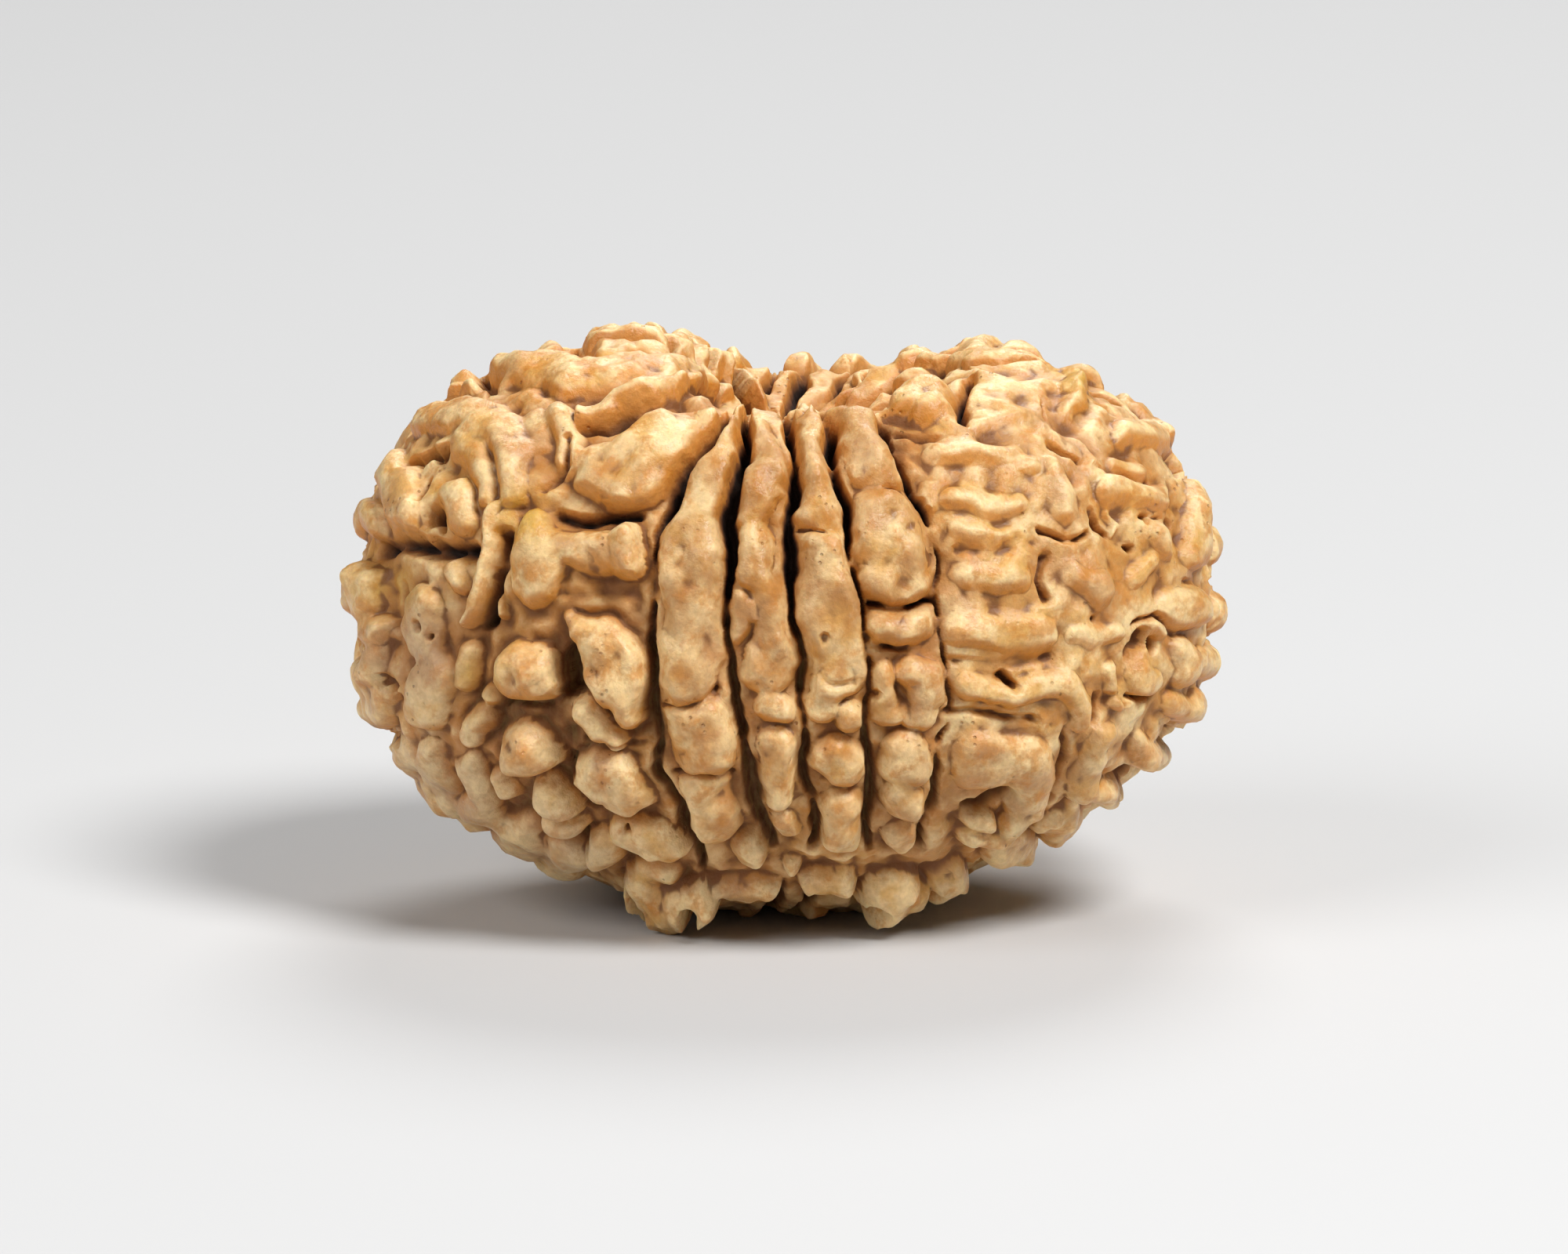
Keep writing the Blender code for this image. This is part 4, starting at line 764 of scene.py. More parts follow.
def far_marks():
    """Seeded pits and short creases on the sides that are not drawn."""
    draw = np.random.default_rng(31)
    creases = []
    pits = []
    for _ in range(FAR_MARK_COUNT):
        turn = draw.uniform(-180, 180)
        rise = math.degrees(math.asin(draw.uniform(-0.93, 0.93)))
        place = ring_place(turn, rise)
        if outward(place[None])[0] @ TOWARDS_EYE > 0.04:
            continue
        if draw.random() < 0.45:
            pits.append((draw.uniform(0.12, 0.36), draw.uniform(0.18, 0.5), place))
        else:
            length = draw.uniform(4, 11)
            lean = draw.uniform(-1, 1)
            line = [ring_place(turn + share * length * lean, rise + share * length) for share in (-0.5, 0, 0.5)]
            creases.append((draw.uniform(0.08, 0.25), draw.uniform(0.12, 0.22), np.array(line)))
    return creases, pits


def narrow_share(skin):
    """1 on the narrow faces at the front, between the first drawn furrow and the last, and 0 beside them."""
    above = skin @ SIGHT_UP
    first, last = (np.array(FRONT_FURROWS[index])[::-1] for index in (0, -1))
    from_first = skin[:, 0] - np.interp(above, first[:, 1], first[:, 0])
    to_last = np.interp(above, last[:, 1], last[:, 0]) - skin[:, 0]
    inside = eased(from_first / 0.4) * eased(to_last / 0.4) * eased((above - 2.5) / 2)
    return inside * eased((outward(skin) @ TOWARDS_EYE) / 0.3)


def zone_share(skin, left, right, low, high, fade):
    """1 inside a box of the front view and 0 outside it, with a soft edge."""
    across = eased((skin[:, 0] - left) / fade) * eased((right - skin[:, 0]) / fade)
    return across * eased((skin[:, 2] - low) / fade) * eased((high - skin[:, 2]) / fade)


def merged_share(skin):
    """Near 1 where the knobs run together into broad masses."""
    return np.max([strength * zone_share(skin, *zone) for strength, *zone in MERGED_ZONES], axis=0)


def fibrous_share(skin):
    """1 in the lower part of the front, where dry fibres half fill the furrows, and 0 above it."""
    return eased((FIBRE_TOP - skin @ SIGHT_UP) / 4) * eased((outward(skin) @ TOWARDS_EYE) / 0.3)


def mouth_share(skin):
    """1 at the bore's upper mouth, falling to 0 round it."""
    from_bore = (skin[:, 0] - BORE_PLACE) ** 2 + skin[:, 1] ** 2
    return np.exp(-from_bore / MOUTH_REACH**2) * (skin[:, 2] > WIDEST_LEVEL)


def ground_heights(skin, merged, narrow, mouth):
    """How high the surface stands between the knobs, as a share of the relief."""
    ground = GROUND + RIGHT_RISE * eased((skin[:, 0] - 3) / 5) + MERGED_RISE * merged
    ground -= SCATTERED_DROP * zone_share(skin, *SCATTERED_ZONE)
    narrow_ground = NARROW_GROUND - NARROW_DROP * eased((13 - skin @ SIGHT_UP) / 5)
    return ground * (1 - narrow) + narrow_ground * narrow + MOUTH_RISE * mouth


def knob_heights(skin, strayed, near, unevenness, knobs, wall):
    """The knobs, each a rounded crown with a soft side, fused with their neighbours and with the ground."""
    broad, lumpy, fine = unevenness
    narrow = narrow_share(skin)
    merged = merged_share(skin)
    ground = ground_heights(skin, merged, narrow, mouth_share(skin))
    ground += 0.05 * broad + 0.03 * lumpy + 0.015 * fine
    softness = wall * (1 - 0.25 * narrow) * (1 + 1.3 * zone_share(skin, *SMOOTH_ZONE))
    raised = np.zeros(len(skin))
    moat = np.zeros(len(skin))
    for height, spine, widths, depth_share in knobs:
        middle = spine.mean(axis=0)
        reach = (np.linalg.norm(spine - middle, axis=1).max() + 1.4 * widths.max() + 0.5) / depth_share
        close = near(middle, reach)
        share, past_edge = spine_gaps(
            squeezed(strayed[close], depth_share), squeezed(spine, depth_share), widths + KNOB_SPREAD
        )
        uneven = 0.045 * lumpy[close] + 0.015 * fine[close]
        crown = height * (1 + 0.055 * broad[close] + (1 - 0.6 * merged[close]) * uneven)
        crown *= 1 - (CROWN_DROP + NARROW_CROWN_DROP * narrow[close]) * np.minimum(share, 1.4) ** 2.2
        side = 1 + np.exp(np.minimum(past_edge / softness[close], 60))
        raised[close] = (raised[close] ** FUSING + (crown / side) ** FUSING) ** (1 / FUSING)
        moat[close] = np.maximum(moat[close], np.exp(-((np.maximum(past_edge, 0) / MOAT_WIDTH) ** 2)))
    ground -= MOAT_DEPTH * moat * (1 - 0.5 * merged) * (1 - 0.75 * narrow)
    return (ground ** (2 * FUSING) + raised ** (2 * FUSING)) ** (0.5 / FUSING)


def cut_furrows(heights, skin, strayed, near):
    """Cuts the furrows: shallow where they are slim, round the bore and where fibres lie in them."""
    mouth = mouth_share(skin)
    filled = FIBRE_FILL * fibrous_share(skin)
    for line, widths in furrow_lines():
        middle = line.mean(axis=0)
        close = near(middle, np.linalg.norm(line - middle, axis=1).max() + 2)
        share, past_edge = spine_gaps(strayed[close], line, widths)
        width = (past_edge / (share - 1 + 1e-9)).clip(widths.min(), widths.max())
        depth = (0.4 + 0.6 * eased((width - 0.1) / (FULL_FURROW_WIDTH - 0.1))) * (1 - 0.6 * mouth[close])
        depth *= 1 - filled[close]
        cut = heights[close] * (1 - depth * np.exp(-(share**4))) - FURROW_DEPTH * depth * np.exp(-(share**2))
        heights[close] = np.minimum(heights[close], cut)


def cut_marks(heights, strayed, near, unevenness, creases, pits):
    """Cuts the outline's notches, the creases and the pits."""
    for floor, right, above, half in RIM_NOTCHES:
        line = over_the_rim(right, above)
        close = near(line.mean(axis=0), 6)
        _, gap = spine_gaps(strayed[close], line, np.full(len(line), 1e-6))
        heights[close] = np.minimum(heights[close], floor + 0.6 * (gap / half - 0.4) ** 2)
    for depth, half, line in creases:
        middle = line.mean(axis=0)
        close = near(middle, np.linalg.norm(line - middle, axis=1).max() + 4 * half)
        _, gap = spine_gaps(strayed[close], line, np.full(len(line), 1e-6))
        heights[close] -= depth * np.exp(-((gap / half) ** 2))
    _, lumpy, fine = unevenness
    for depth, half, place in pits:
        close = near(place, 4 * half)
        gap = np.linalg.norm(strayed[close] - place, axis=1) / half
        gap *= 1 + 0.12 * np.tanh(lumpy[close] + fine[close])
        heights[close] -= depth / (1 + np.exp((gap - 1) / PIT_WALL))


def relief_heights(skin, wall):
    """How high the surface stands over the core at each skin place, as a share of the relief."""
    front = front_knobs() + ridge_ends()
    lumps, creases, pits = fine_marks()
    more_creases, more_pits = far_marks()
    strayed = skin + OUTLINE_STRAY * np.stack([ripple(skin, 2.6, seed) for seed in (11, 12, 13)], axis=1)
    strayed += FINE_STRAY * np.stack([ripple(skin, 0.9, seed) for seed in (14, 15, 16)], axis=1)
    unevenness = [ripple(skin, length, seed) for length, seed in ((3.2, 22), (1.5, 23), (0.8, 24))]
    near = near_finder(strayed)
    heights = knob_heights(skin, strayed, near, unevenness, front + lumps + far_knobs(front), wall)
    cut_furrows(heights, skin, strayed, near)
    cut_marks(heights, strayed, near, unevenness, creases + more_creases, pits + more_pits)
    return np.maximum(heights, LEAST_HEIGHT)


def ball_places(steps):
    """A ball's mesh and the skin places over its points."""
    ball = bmesh.new()
    bmesh.ops.create_icosphere(ball, subdivisions=steps, radius=1)
    mesh = bpy.data.meshes.new("rudraksha_stone")
    ball.to_mesh(mesh)
    ball.free()
    places = np.empty(len(mesh.vertices) * 3, np.float32)
    mesh.vertices.foreach_get("co", places)
    return mesh, skin_places(places.reshape(-1, 3) * np.array([HALF_LENGTH, HALF_DEPTH, RISE]))


def points_of(mesh):
    """The mesh's points in millimetres."""
    points = np.empty(len(mesh.vertices) * 3, np.float32)
    mesh.vertices.foreach_get("co", points)
    return points.reshape(-1, 3).astype(float) / MM


def set_points(mesh, points):
    mesh.vertices.foreach_set("co", (points * MM).astype(np.float32).ravel())
    mesh.update()


def normals_of(mesh):
    normals = np.empty(len(mesh.vertices) * 3, np.float32)
    mesh.vertex_normals.foreach_get("vector", normals)
    return normals.reshape(-1, 3).astype(float)


def apply_all(piece):
    """Turns the piece's modifiers into its mesh."""
    bpy.context.view_layer.update()
    finished = piece.evaluated_get(bpy.context.evaluated_depsgraph_get())
    made = bpy.data.meshes.new_from_object(finished)
    old = piece.data
    piece.modifiers.clear()
    piece.data = made
    bpy.data.meshes.remove(old)
    made.name = piece.name


def bore_cutter(width):
    """The bore as a slim uneven rod that passes through the whole seed, for cutting."""
    shape = bmesh.new()
    rings = 41
    sides = 28
    loops = []
    for ring in range(rings):
        level = BORE_LOW + (BORE_HIGH - BORE_LOW) * ring / (rings - 1)
        loop = []
        for side in range(sides):
            angle = 2 * math.pi * side / sides
            uneven = 0.08 * math.sin(3 * angle + 0.7 * level) + 0.06 * math.sin(2 * angle - 0.4 * level)
            reach = width / 2 * (1 + uneven)
            place = (reach * math.cos(angle) * MM, reach * math.sin(angle) * MM, level * MM)
            loop.append(shape.verts.new(place))
        loops.append(loop)
    for low, high in zip(loops, loops[1:]):
        for side in range(sides):
            after = (side + 1) % sides
            shape.faces.new((low[side], low[after], high[after], high[side]))
    shape.faces.new(loops[0][::-1])
    shape.faces.new(loops[-1])
    mesh = bpy.data.meshes.new("bore_cutter")
    shape.to_mesh(mesh)
    shape.free()
    cutter = bpy.data.objects.new("bore_cutter", mesh)
    bpy.context.scene.collection.objects.link(cutter)
    return cutter


def spot_shares(points, spots):
    """How strongly each point of the front lies in one of the drawn spots, from 0 to 1."""
    shares = np.zeros(len(points))
    facing = eased((outward(points) @ TOWARDS_EYE - 0.05) / 0.3)
    right = points[:, 0]
    above = points @ SIGHT_UP
    for at_right, at_above, radius in spots:
        gap = ((right - at_right) ** 2 + (above - at_above) ** 2) / radius**2
        shares = np.maximum(shares, np.exp(-gap))
    return shares * facing


def local_rise(mesh, heights, rounds):
    """How far each point stands above the mean of the points round it."""
    ends = np.empty(len(mesh.edges) * 2, np.int32)
    mesh.edges.foreach_get("vertices", ends)
    ends = ends.reshape(-1, 2)
    count = np.bincount(ends.ravel(), minlength=len(heights))
    mean = heights.copy()
    for _ in range(rounds):
        total = np.bincount(ends[:, 0], mean[ends[:, 1]], len(heights))
        total += np.bincount(ends[:, 1], mean[ends[:, 0]], len(heights))
        mean = 0.5 * mean + 0.5 * total / count
    return heights - mean


def finish_surface(mesh, grain):
    """Adds the fine unevenness, marks each point for the wood, and sets the seed on its foot."""
    points = points_of(mesh)
    normals = normals_of(mesh)
    ripples = 0.6 * ripple(points, 0.75, 41) + 0.4 * ripple(points, 0.45, 42)
    points += normals * (grain * ripples)[:, None]
    core = skin_places(points - CENTRE)
    stood = 1 + ((points - core) * outward(core)).sum(axis=1) / RELIEF
    marks = (
        stood,
        spot_shares(points, AMBER_SPOTS),
        spot_shares(points, OLIVE_SPOTS),
        spot_shares(points, GREY_SPOTS),
        # crest: how far a point stands above its neighbours; it steers the painted highlight on the crests
        local_rise(mesh, stood, 14),
        # crease and hollow: how far a point lies below its neighbours; they steer painted shade in creases and
        # hollows
        -local_rise(mesh, stood, 5),
        -local_rise(mesh, stood, 70),
        # lower: how far a point turns downwards; it steers painted shade on downward sides
        outward(core)[:, 2] - normals[:, 2],
        narrow_share(core),
        fibrous_share(core),
    )
    for name, values in zip(WOOD_MARKS, marks):
        made = mesh.attributes.new(name, "FLOAT", "POINT")
        made.data.foreach_set("value", values.astype(np.float32))
    points[:, 2] = np.maximum(points[:, 2] - FOOT_LEVEL, 0)
    low, high = (np.array(corner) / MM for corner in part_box(NODE))
    middle = (points.min(axis=0) + points.max(axis=0)) / 2
    points[:, :2] += ((low + high) / 2 - middle)[:2]
    set_points(mesh, points)


def linear(text):
    """An sRGB hex colour as linear red, green and blue."""
    shares = [int(text[start:start + 2], 16) / 255 for start in (1, 3, 5)]
    return tuple(share / 12.92 if share <= 0.04045 else ((share + 0.055) / 1.055) ** 2.4 for share in shares)


def add_node(tree, kind, sockets=None, **settings):
    """A shader node with its settings, and for each socket named its value or the socket that feeds it."""
    node = tree.nodes.new(kind)
    for name, value in settings.items():
        setattr(node, name, value)
    for name, value in (sockets or {}).items():
        if isinstance(value, bpy.types.NodeSocket):
            tree.links.new(value, node.inputs[name])
        else:
            node.inputs[name].default_value = value
    return node


def new_material(name):
    material = bpy.data.materials.new(name)
    material.use_nodes = True
    return material, material.node_tree, material.node_tree.nodes["Principled BSDF"]


def rgba(colour):
    return (*colour, 1.0)


# What the mesh says of each of its points, for the wood: crest steers the painted highlight, and crease,
# hollow, lower and relief steer painted shade
WOOD_MARKS = (
    "relief", "amber", "olive", "grey", "crest", "crease", "hollow", "lower", "narrow", "fibrous",
)

# The wood's own patterns: size in millimetres, detail, roughness and place in the noise
WOOD_PATTERNS = (
    ("mottle", 4.5, 3, 0.6, 0.0),
    ("clouds", 1.7, 4, 0.6, 0.013),
    ("grains", 0.32, 4, 0.65, 0.027),  # the stone cells are some 0.03 mm wide, too fine to show
    ("flecks", 1.2, 4, 0.65, 0.041),
    ("stains", 1.0, 3, 0.6, 0.009),
    ("patches", 2.2, 3, 0.6, 0.071),
    ("pore_fields", 2.6, 2, 0.5, 0.063),
    ("pimples", 0.55, 4, 0.6, 0.019),
)
STRAND_WIDTH = 0.3  # the fibres are some 0.05 mm thick, too fine to show, so their bundles are drawn

# How strongly each tone shows, worked out row by row. A ramp goes from its first range to its second.
WOOD_SHARES = (
    ("two_tones", "RAMP", "mottle", 0.38, 0.62, 0.0, 1.0),
    # painted highlight: the crests are lifted towards cream, partly paler wood from wear and partly painted
    # highlight
    ("crest_wear_and_highlight", "MULTIPLY", "crest", 1.2),
    ("light", "ADD", "clouds", "crest_wear_and_highlight"),
    ("bright", "RAMP", "light", 0.42, 0.68, 0.0, 1.0),
    ("stained", "RAMP", "stains", 0.35, 0.65, 0.15, 0.85),
    ("oiled", "MULTIPLY", "amber", "stained"),
    ("flecked", "RAMP", "flecks", 0.48, 0.66, 0.0, 1.0),
    ("faint_flecks", "MULTIPLY", "flecked", 0.65),
    ("warm", "MAXIMUM", "oiled", "faint_flecks"),
    # painted shade: sides that turn downwards are made amber as if in shade; the amber spots, stains and flecks
    # above are the wood's own colour
    ("turned_down", "RAMP", "lower", 0.1, 0.6, 0.0, 1.0),
    ("painted_underside_shade", "MULTIPLY", "turned_down", 0.85),
    ("amber_and_underside_shade", "MAXIMUM", "warm", "painted_underside_shade"),
    ("brown_patches", "RAMP", "patches", 0.38, 0.66, 0.1, 0.7),
    ("brown_faces", "MULTIPLY", "narrow", "brown_patches"),
    ("paler_below", "RAMP", "fibrous", 0.0, 1.0, 1.0, 0.45),
    ("browned", "MULTIPLY", "brown_faces", "paler_below"),
    ("yellowed", "MULTIPLY", "olive", 0.8),
    # greyer towards the lower left, over the drawn grey spots
    ("greyed_low_left", "MULTIPLY", "grey", 0.45),
    ("grained", "RAMP", "grains", 0.3, 0.7, 0.22, 0.0),
    ("drift", "RAMP", "clouds", 0.2, 0.8, -0.08, 0.08),
    ("level", "ADD", "relief", "drift"),
    # painted shade: the lower a point stands, the browner its flank is made
    ("flank_shade", "RAMP", "level", 0.72, 0.45, 0.0, 0.5),
    # painted shade in hollows and creases, from how far a point lies below its neighbours
    ("sunk", "RAMP", "hollow", -0.02, 0.14, 0.0, 0.6),
    ("crease_shade", "RAMP", "crease", 0.01, 0.06, 0.0, 0.85),
    ("deep", "RAMP", "hollow", 0.08, 0.3, 0.0, 0.8),
    # painted shade: between the knobs the colour goes to dark brown, and in the furrows to near black
    ("shade_between_knobs", "RAMP", "level", 0.5, 0.22, 0.0, 1.0),
    ("furrow_shade", "RAMP", "level", 0.3, 0.04, 0.0, 1.0),
    ("strand_light", "RAMP", "strands", 0.35, 0.65, 0.0, 1.0),
    ("furrow_floors", "RAMP", "level", 0.45, 0.1, 0.0, 0.8),
    ("fibres", "MULTIPLY", "fibrous", "furrow_floors"),
    ("dots", "RAMP", "pore_cells", 0.22, 0.08, 0.0, 1.0),
    ("pored", "RAMP", "pore_fields", 0.58, 0.68, 0.0, 1.0),
    ("pores", "MULTIPLY", "dots", "pored"),
    ("pore_shade", "MULTIPLY", "pores", 0.35),
    ("grain_dulling", "RAMP", "grains", 0.3, 0.7, -0.05, 0.08),
    ("grain_bumps", "MULTIPLY", "grains", 0.5),
    ("all_bumps", "ADD", "pimples", "grain_bumps"),
    ("pore_depth", "MULTIPLY", "pores", 1.2),
    ("bumps", "SUBTRACT", "all_bumps", "pore_depth"),
)

# The tones laid over the pinkish beige, one after another: some are the wood's own colour, some are a painted
# highlight on the crests and painted shade lower down
WOOD_LAYERS = (
    ("two_tones", "tan"),
    # cream on the crests: partly paler wood from wear, partly painted highlight
    ("bright", "cream"),
    # amber: the wood's own amber spots and flecks, and painted shade on downward sides
    ("amber_and_underside_shade", "amber"),
    ("browned", "flank"),
    ("yellowed", "olive"),
    ("greyed_low_left", "grey_low_left"),
    ("grained", "recess"),
    # painted shade from here on: flanks, hollows, creases, the ground between the knobs and the furrows are
    # darkened where shade falls
    ("flank_shade", "flank"),
    ("sunk", "flank"),
    ("crease_shade", "recess"),
    ("deep", "recess"),
    ("shade_between_knobs", "recess"),
    ("furrow_shade", "furrow"),
    ("fibres", "strands"),
    ("pore_shade", "recess"),
)


def oiled_endocarp_wood(settings):
    """The seed's stony wood, dried and lightly oiled: warm and satin on the crests, where the colour holds a
    painted highlight over partly paler wood from wear; brown and dull below, where the colour holds painted
    shade on the flanks, downward sides, creases, hollows, between the knobs and in the furrows.
    """
    material, tree, shader = new_material("oiled_endocarp_wood")
    position = add_node(tree, "ShaderNodeTexCoord").outputs["Object"]
    field = {
        name: add_node(tree, "ShaderNodeAttribute", attribute_name=name).outputs["Fac"] for name in WOOD_MARKS
    }
    for name, size, detail, roughness, place in WOOD_PATTERNS:
        moved = add_node(
            tree, "ShaderNodeVectorMath", {0: position, 1: (place, 2 * place, -place)}, operation="ADD"
        ).outputs[0]
        field[name] = add_node(
            tree,
            "ShaderNodeTexNoise",
            {"Vector": moved, "Scale": 1 / (size * MM), "Detail": detail, "Roughness": roughness},
        ).outputs["Fac"]
    upright = add_node(tree, "ShaderNodeMapping", {"Vector": position, "Scale": (1, 1, 0.3)}).outputs["Vector"]
    field["strands"] = add_node(
        tree,
        "ShaderNodeTexNoise",
        {"Vector": upright, "Scale": 1 / (STRAND_WIDTH * MM), "Detail": 3, "Roughness": 0.6},
    ).outputs["Fac"]
    field["pore_cells"] = add_node(
        tree, "ShaderNodeTexVoronoi", {"Vector": position, "Scale": 1 / settings.pore_spacing}
    ).outputs["Distance"]
    for name, operation, source, *rest in WOOD_SHARES:
        if operation == "RAMP":
            sockets = dict(zip(("From Min", "From Max", "To Min", "To Max"), rest), Value=field[source])
            node = add_node(tree, "ShaderNodeMapRange", sockets, interpolation_type="SMOOTHSTEP")
        else:
            second = field.get(rest[0], rest[0])
            node = add_node(tree, "ShaderNodeMath", {0: field[source], 1: second}, operation=operation)
        field[name] = node.outputs[0]
    tones = {name: rgba(getattr(settings, name)) for _, name in WOOD_LAYERS if name != "strands"}
    tones["strands"] = add_node(
        tree,
        "ShaderNodeMix",
        {0: field["strand_light"], 6: rgba(settings.recess), 7: rgba(settings.fibre)},
        data_type="RGBA",
    ).outputs[2]
    colour = rgba(settings.beige)
    for share, tone in WOOD_LAYERS:
        colour = add_node(
            tree, "ShaderNodeMix", {0: field[share], 6: colour, 7: tones[tone]}, data_type="RGBA"
        ).outputs[2]
    tree.links.new(colour, shader.inputs["Base Color"])
    crest_wear_and_highlight = add_node(
        tree,
        "ShaderNodeMapRange",
        {
            "Value": field["relief"],
            "From Min": 0.25,
            "From Max": 0.8,
            "To Min": settings.dull,
            "To Max": settings.satin,
        },
        interpolation_type="SMOOTHSTEP",
    ).outputs["Result"]
    rough = add_node(tree, "ShaderNodeMath", {0: crest_wear_and_highlight, 1: field["grain_dulling"]}, operation="ADD")
    tree.links.new(rough.outputs[0], shader.inputs["Roughness"])
    shader.inputs["IOR"].default_value = 1.5
    shader.inputs["Subsurface Weight"].default_value = settings.glow
    shader.inputs["Subsurface Radius"].default_value = (1.0, 0.42, 0.16)
    shader.inputs["Subsurface Scale"].default_value = 0.6 * MM
    bumped = add_node(
        tree, "ShaderNodeBump", {"Height": field["bumps"], "Strength": 0.8, "Distance": 0.12 * MM}
    )
    tree.links.new(bumped.outputs["Normal"], shader.inputs["Normal"])
    return material


ROLLER_BLOTCH = 60.0  # millimetres across the board


def matt_board(colour):
    """Pale painted board: quite matt, with the faint unevenness of a roller."""
    material, tree, shader = new_material("matt_painted_board")
    position = add_node(tree, "ShaderNodeTexCoord").outputs["Object"]
    blotch = add_node(
        tree, "ShaderNodeTexNoise", {"Vector": position, "Scale": 1 / (ROLLER_BLOTCH * MM), "Detail": 3}
    )
    uneven = add_node(
        tree, "ShaderNodeMapRange", {"Value": blotch.outputs["Fac"], "To Min": 0.78, "To Max": 0.84}
    )
    tree.links.new(uneven.outputs["Result"], shader.inputs["Roughness"])
    shader.inputs["Base Color"].default_value = rgba(colour)
    return material


def lengths(name, description, default):
    return bpy.props.FloatProperty(
        name=name, description=description, default=default, min=0, unit="LENGTH", precision=5
    )


def colours(name, description, text):
    return bpy.props.FloatVectorProperty(
        name=name, description=description, default=linear(text), size=3, min=0, max=1, subtype="COLOR"
    )


def shares(name, description, default):
    return bpy.props.FloatProperty(
        name=name, description=description, default=default, min=0, max=1, subtype="FACTOR"
    )


def powers(name, description, default):
    return bpy.props.FloatProperty(name=name, description=description, default=default, min=0, unit="POWER")


class StoneSettings(bpy.types.PropertyGroup):
    wall: lengths("Knob wall", "Softness of a knob's side", 0.14 * MM)
    bore: lengths("Bore", "Width of the bore through the seed", BORE_WIDTH * MM)
    grain: lengths("Grain height", "Height of the fine unevenness of the surface", 0.02 * MM)
    pore_spacing: lengths("Pore spacing", "Distance between pores where the surface is pored", 0.42 * MM)
    faces: bpy.props.IntProperty(
        name="Faces", description="Triangles of the finished seed", default=196000, min=1000
    )
    # cream: partly paler wood from wear on the crests, partly painted highlight
    cream: colours("Cream", "Worn crests of the knobs", "#F6D69C")
    tan: colours("Tan", "Most of the surface", "#E2AF62")
    beige: colours("Beige", "Pinkish patches", "#D2A26C")
    # amber: the wood's own oiled amber on spots and flecks, and painted shade on sides that turn downwards
    amber: colours("Amber", "Oiled knob ends and lower edges", "#CE811C")
    olive: colours("Olive", "Yellow patches", "#D0A030")
    # the greyer tone towards the lower left
    grey_low_left: colours("Dust", "Greyer parts low on the left", "#B3977A")
    # flank: painted shade on the knobs' sides and in shallow hollows, and the wood's own brown patches on the
    # narrow faces
    flank: colours("Flank", "Sides of the knobs", "#B1722D")
    # recess: painted shade in creases, hollows and between the knobs, and the wood's own dark brown of grain,
    # pores and fibre gaps
    recess: colours("Recess", "Hollows between the knobs", "#78481F")
    # furrow: painted shade, near black, deep in the furrows and pits
    furrow: colours("Furrow", "The depths of furrows and pits", "#2A1507")
    fibre: colours("Fibre", "Dry fibres in the lower furrows", "#8A6634")
    satin: shares("Satin", "Roughness of the knobs' crests", 0.42)
    dull: shares("Dull", "Roughness of the furrows", 0.8)
    glow: shares("Glow", "Light that the oiled skin lets in and out again", 0.25)


class StageSettings(bpy.types.PropertyGroup):
    floor: colours("Floor", "The painted board under the seed", "#C9C9C9")
    width: lengths("Floor width", "Across the round floor", 4.0)
    key: powers("Key", "The large light above", 2.75)
    fill: powers("Fill", "The soft light at the left and the one behind", 1.3)
    world: shares("Surroundings", "Strength of the even light from all round", 0.09)


class RUDRAKSHA_OT_stone(bpy.types.Operator):
    """Build the seed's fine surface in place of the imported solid"""

    bl_idname = "rudraksha.stone"
    bl_label = "Seed"

    def execute(self, context):
        settings = context.scene.rudraksha_stone
        mesh, skin = ball_places(9)
        heights = relief_heights(skin, settings.wall / MM)
        set_points(mesh, skin - outward(skin) * (RELIEF * (1 - heights))[:, None])
        stone = bpy.data.objects.new("rudraksha_stone", mesh)
        context.scene.collection.objects.link(stone)
        thin = stone.modifiers.new("fewer_faces", "DECIMATE")
        thin.ratio = min(1, settings.faces / len(mesh.polygons))
        apply_all(stone)
        cutter = bore_cutter(settings.bore / MM)
        cutter.location = (BORE_PLACE * MM, 0, 0)
        bore = stone.modifiers.new("bore", "BOOLEAN")
        bore.operation = "DIFFERENCE"
        bore.object = cutter
        bore.solver = "EXACT"
        apply_all(stone)
        bpy.data.objects.remove(cutter)
        finish_surface(stone.data, settings.grain / MM)
        stone.data.shade_smooth()
        stone.data.materials.clear()
        stone.data.materials.append(oiled_endocarp_wood(settings))
        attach(stone, "root")
        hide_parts(NODE)
        return {"FINISHED"}


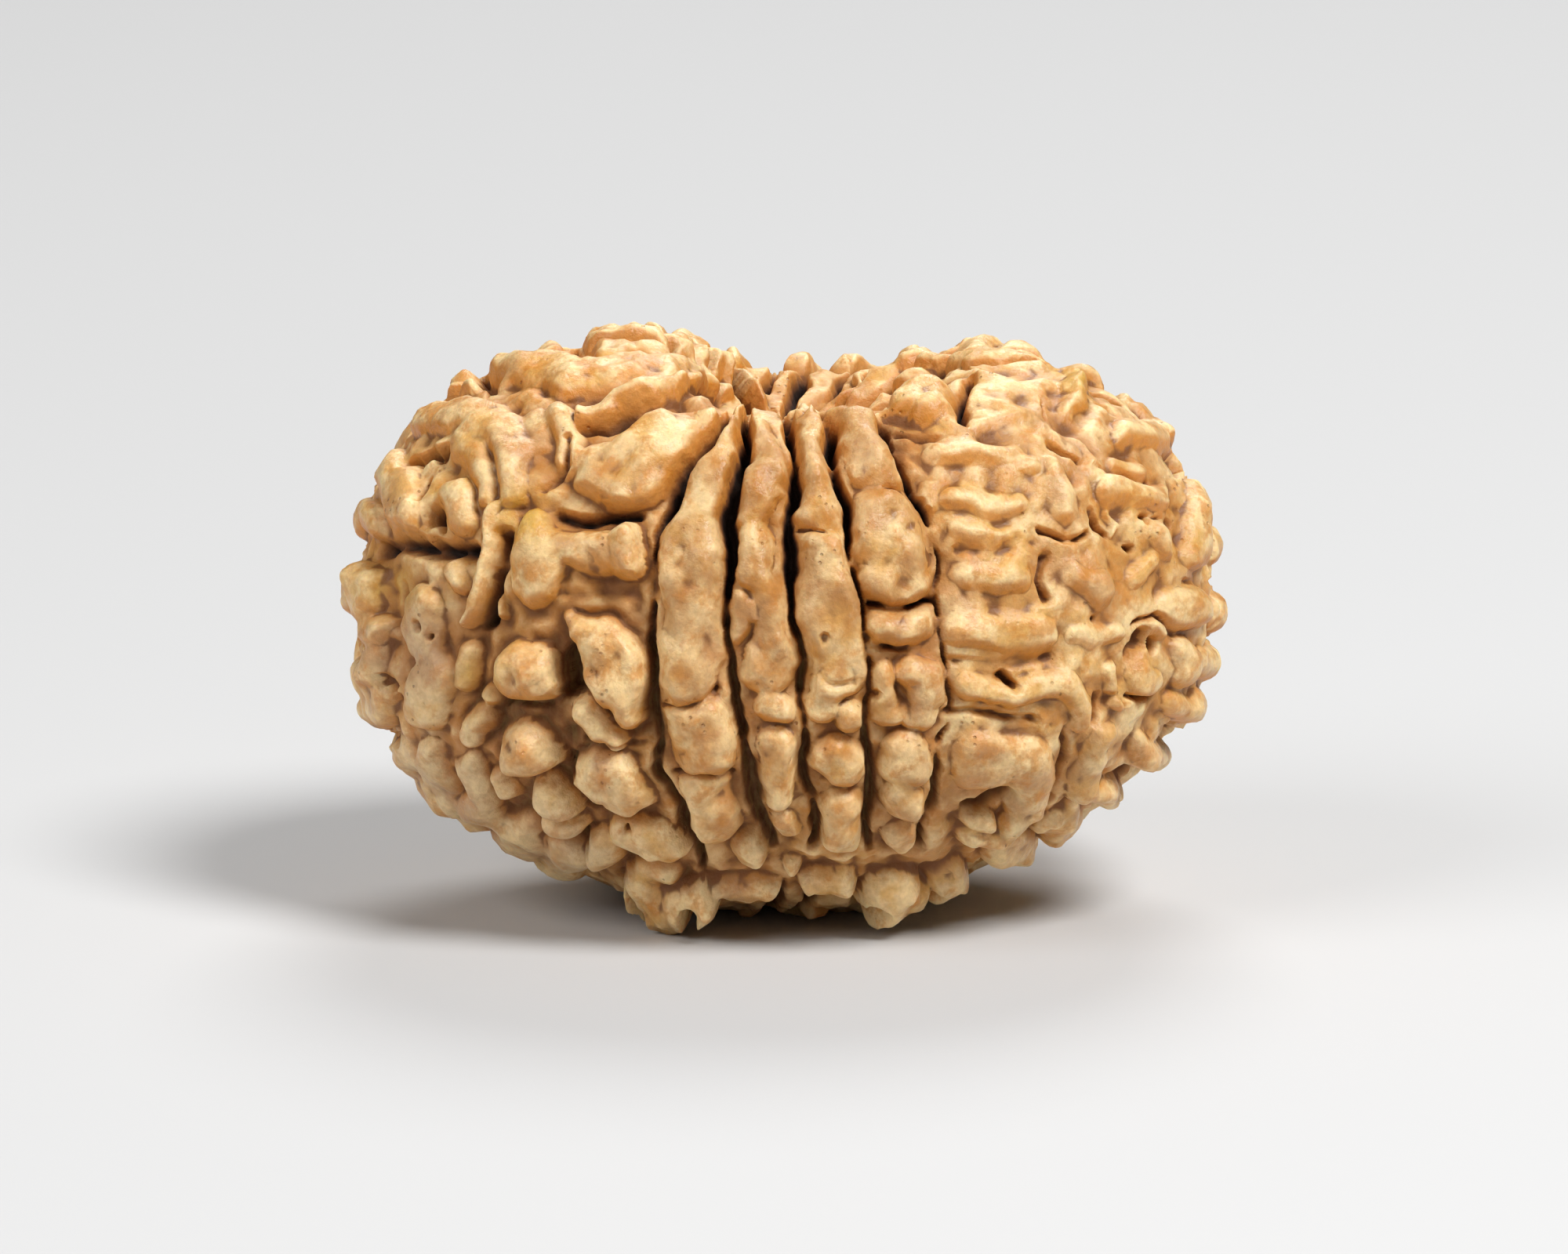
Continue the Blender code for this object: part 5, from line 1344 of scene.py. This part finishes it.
class RUDRAKSHA_OT_stage(bpy.types.Operator):
    """Lay the pale floor and set the soft lights and the camera"""

    bl_idname = "rudraksha.stage"
    bl_label = "Stage"

    def execute(self, context):
        settings = context.scene.rudraksha_stage
        scene = context.scene
        board = bmesh.new()
        bmesh.ops.create_circle(board, cap_ends=True, segments=96, radius=settings.width / 2)
        mesh = bpy.data.meshes.new("floor")
        board.to_mesh(mesh)
        board.free()
        floor = bpy.data.objects.new("floor", mesh)
        floor.location.z = -FLOOR_GAP
        floor.data.materials.append(matt_board(settings.floor))
        scene.collection.objects.link(floor)
        aim = Vector((0, 0, (SIGHT_AIM - FOOT_LEVEL) * MM))
        for name, place, size, power in (
            ("key", (0.23, -0.21, 0.42), 0.2, settings.key),
            ("fill", (-0.38, -0.24, 0.33), 0.35, settings.fill),
            ("rim", (0.05, 0.35, 0.38), 0.25, settings.fill),
        ):
            lamp = bpy.data.lights.new(name, "AREA")
            lamp.shape = "DISK"
            lamp.size = size
            lamp.energy = power
            light = bpy.data.objects.new(name, lamp)
            light.location = place
            light.rotation_euler = (aim - Vector(place)).to_track_quat("-Z", "Y").to_euler()
            scene.collection.objects.link(light)
        world = bpy.data.worlds.new("studio")
        world.use_nodes = True
        world.node_tree.nodes["Background"].inputs["Color"].default_value = (1, 1, 1, 1)
        world.node_tree.nodes["Background"].inputs["Strength"].default_value = settings.world
        scene.world = world
        lens = bpy.data.cameras.new("camera")
        lens.sensor_width = SENSOR_WIDTH
        lens.lens = SIGHT_DISTANCE * SENSOR_WIDTH / SEEN_WIDTH
        camera = bpy.data.objects.new("camera", lens)
        camera.location = aim + Vector(TOWARDS_EYE) * (SIGHT_DISTANCE * MM)
        camera.rotation_euler = (math.radians(90) - SIGHT_SLOPE, 0, 0)
        scene.collection.objects.link(camera)
        scene.camera = camera
        scene.view_settings.view_transform = "Standard"
        return {"FINISHED"}


class RUDRAKSHA_PT_panel(bpy.types.Panel):
    """Sizes, colours and build buttons of the seed"""

    bl_label = "Rudraksha"
    bl_idname = "RUDRAKSHA_PT_panel"
    bl_space_type = "VIEW_3D"
    bl_region_type = "UI"
    bl_category = "Rudraksha"

    def draw(self, context):
        for settings, operator in (
            (context.scene.rudraksha_stone, RUDRAKSHA_OT_stone),
            (context.scene.rudraksha_stage, RUDRAKSHA_OT_stage),
        ):
            box = self.layout.box()
            for name in settings.__annotations__:
                box.prop(settings, name)
            box.operator(operator.bl_idname)


CLASSES = (StoneSettings, StageSettings, RUDRAKSHA_OT_stone, RUDRAKSHA_OT_stage, RUDRAKSHA_PT_panel)


def register():
    for made in CLASSES:
        bpy.utils.register_class(made)
    bpy.types.Scene.rudraksha_stone = bpy.props.PointerProperty(type=StoneSettings)
    bpy.types.Scene.rudraksha_stage = bpy.props.PointerProperty(type=StageSettings)


def unregister():
    del bpy.types.Scene.rudraksha_stage
    del bpy.types.Scene.rudraksha_stone
    for made in reversed(CLASSES):
        bpy.utils.unregister_class(made)


def main():
    register()
    bpy.ops.rudraksha.stone()
    bpy.ops.rudraksha.stage()


if __name__ == "__main__":
    main()
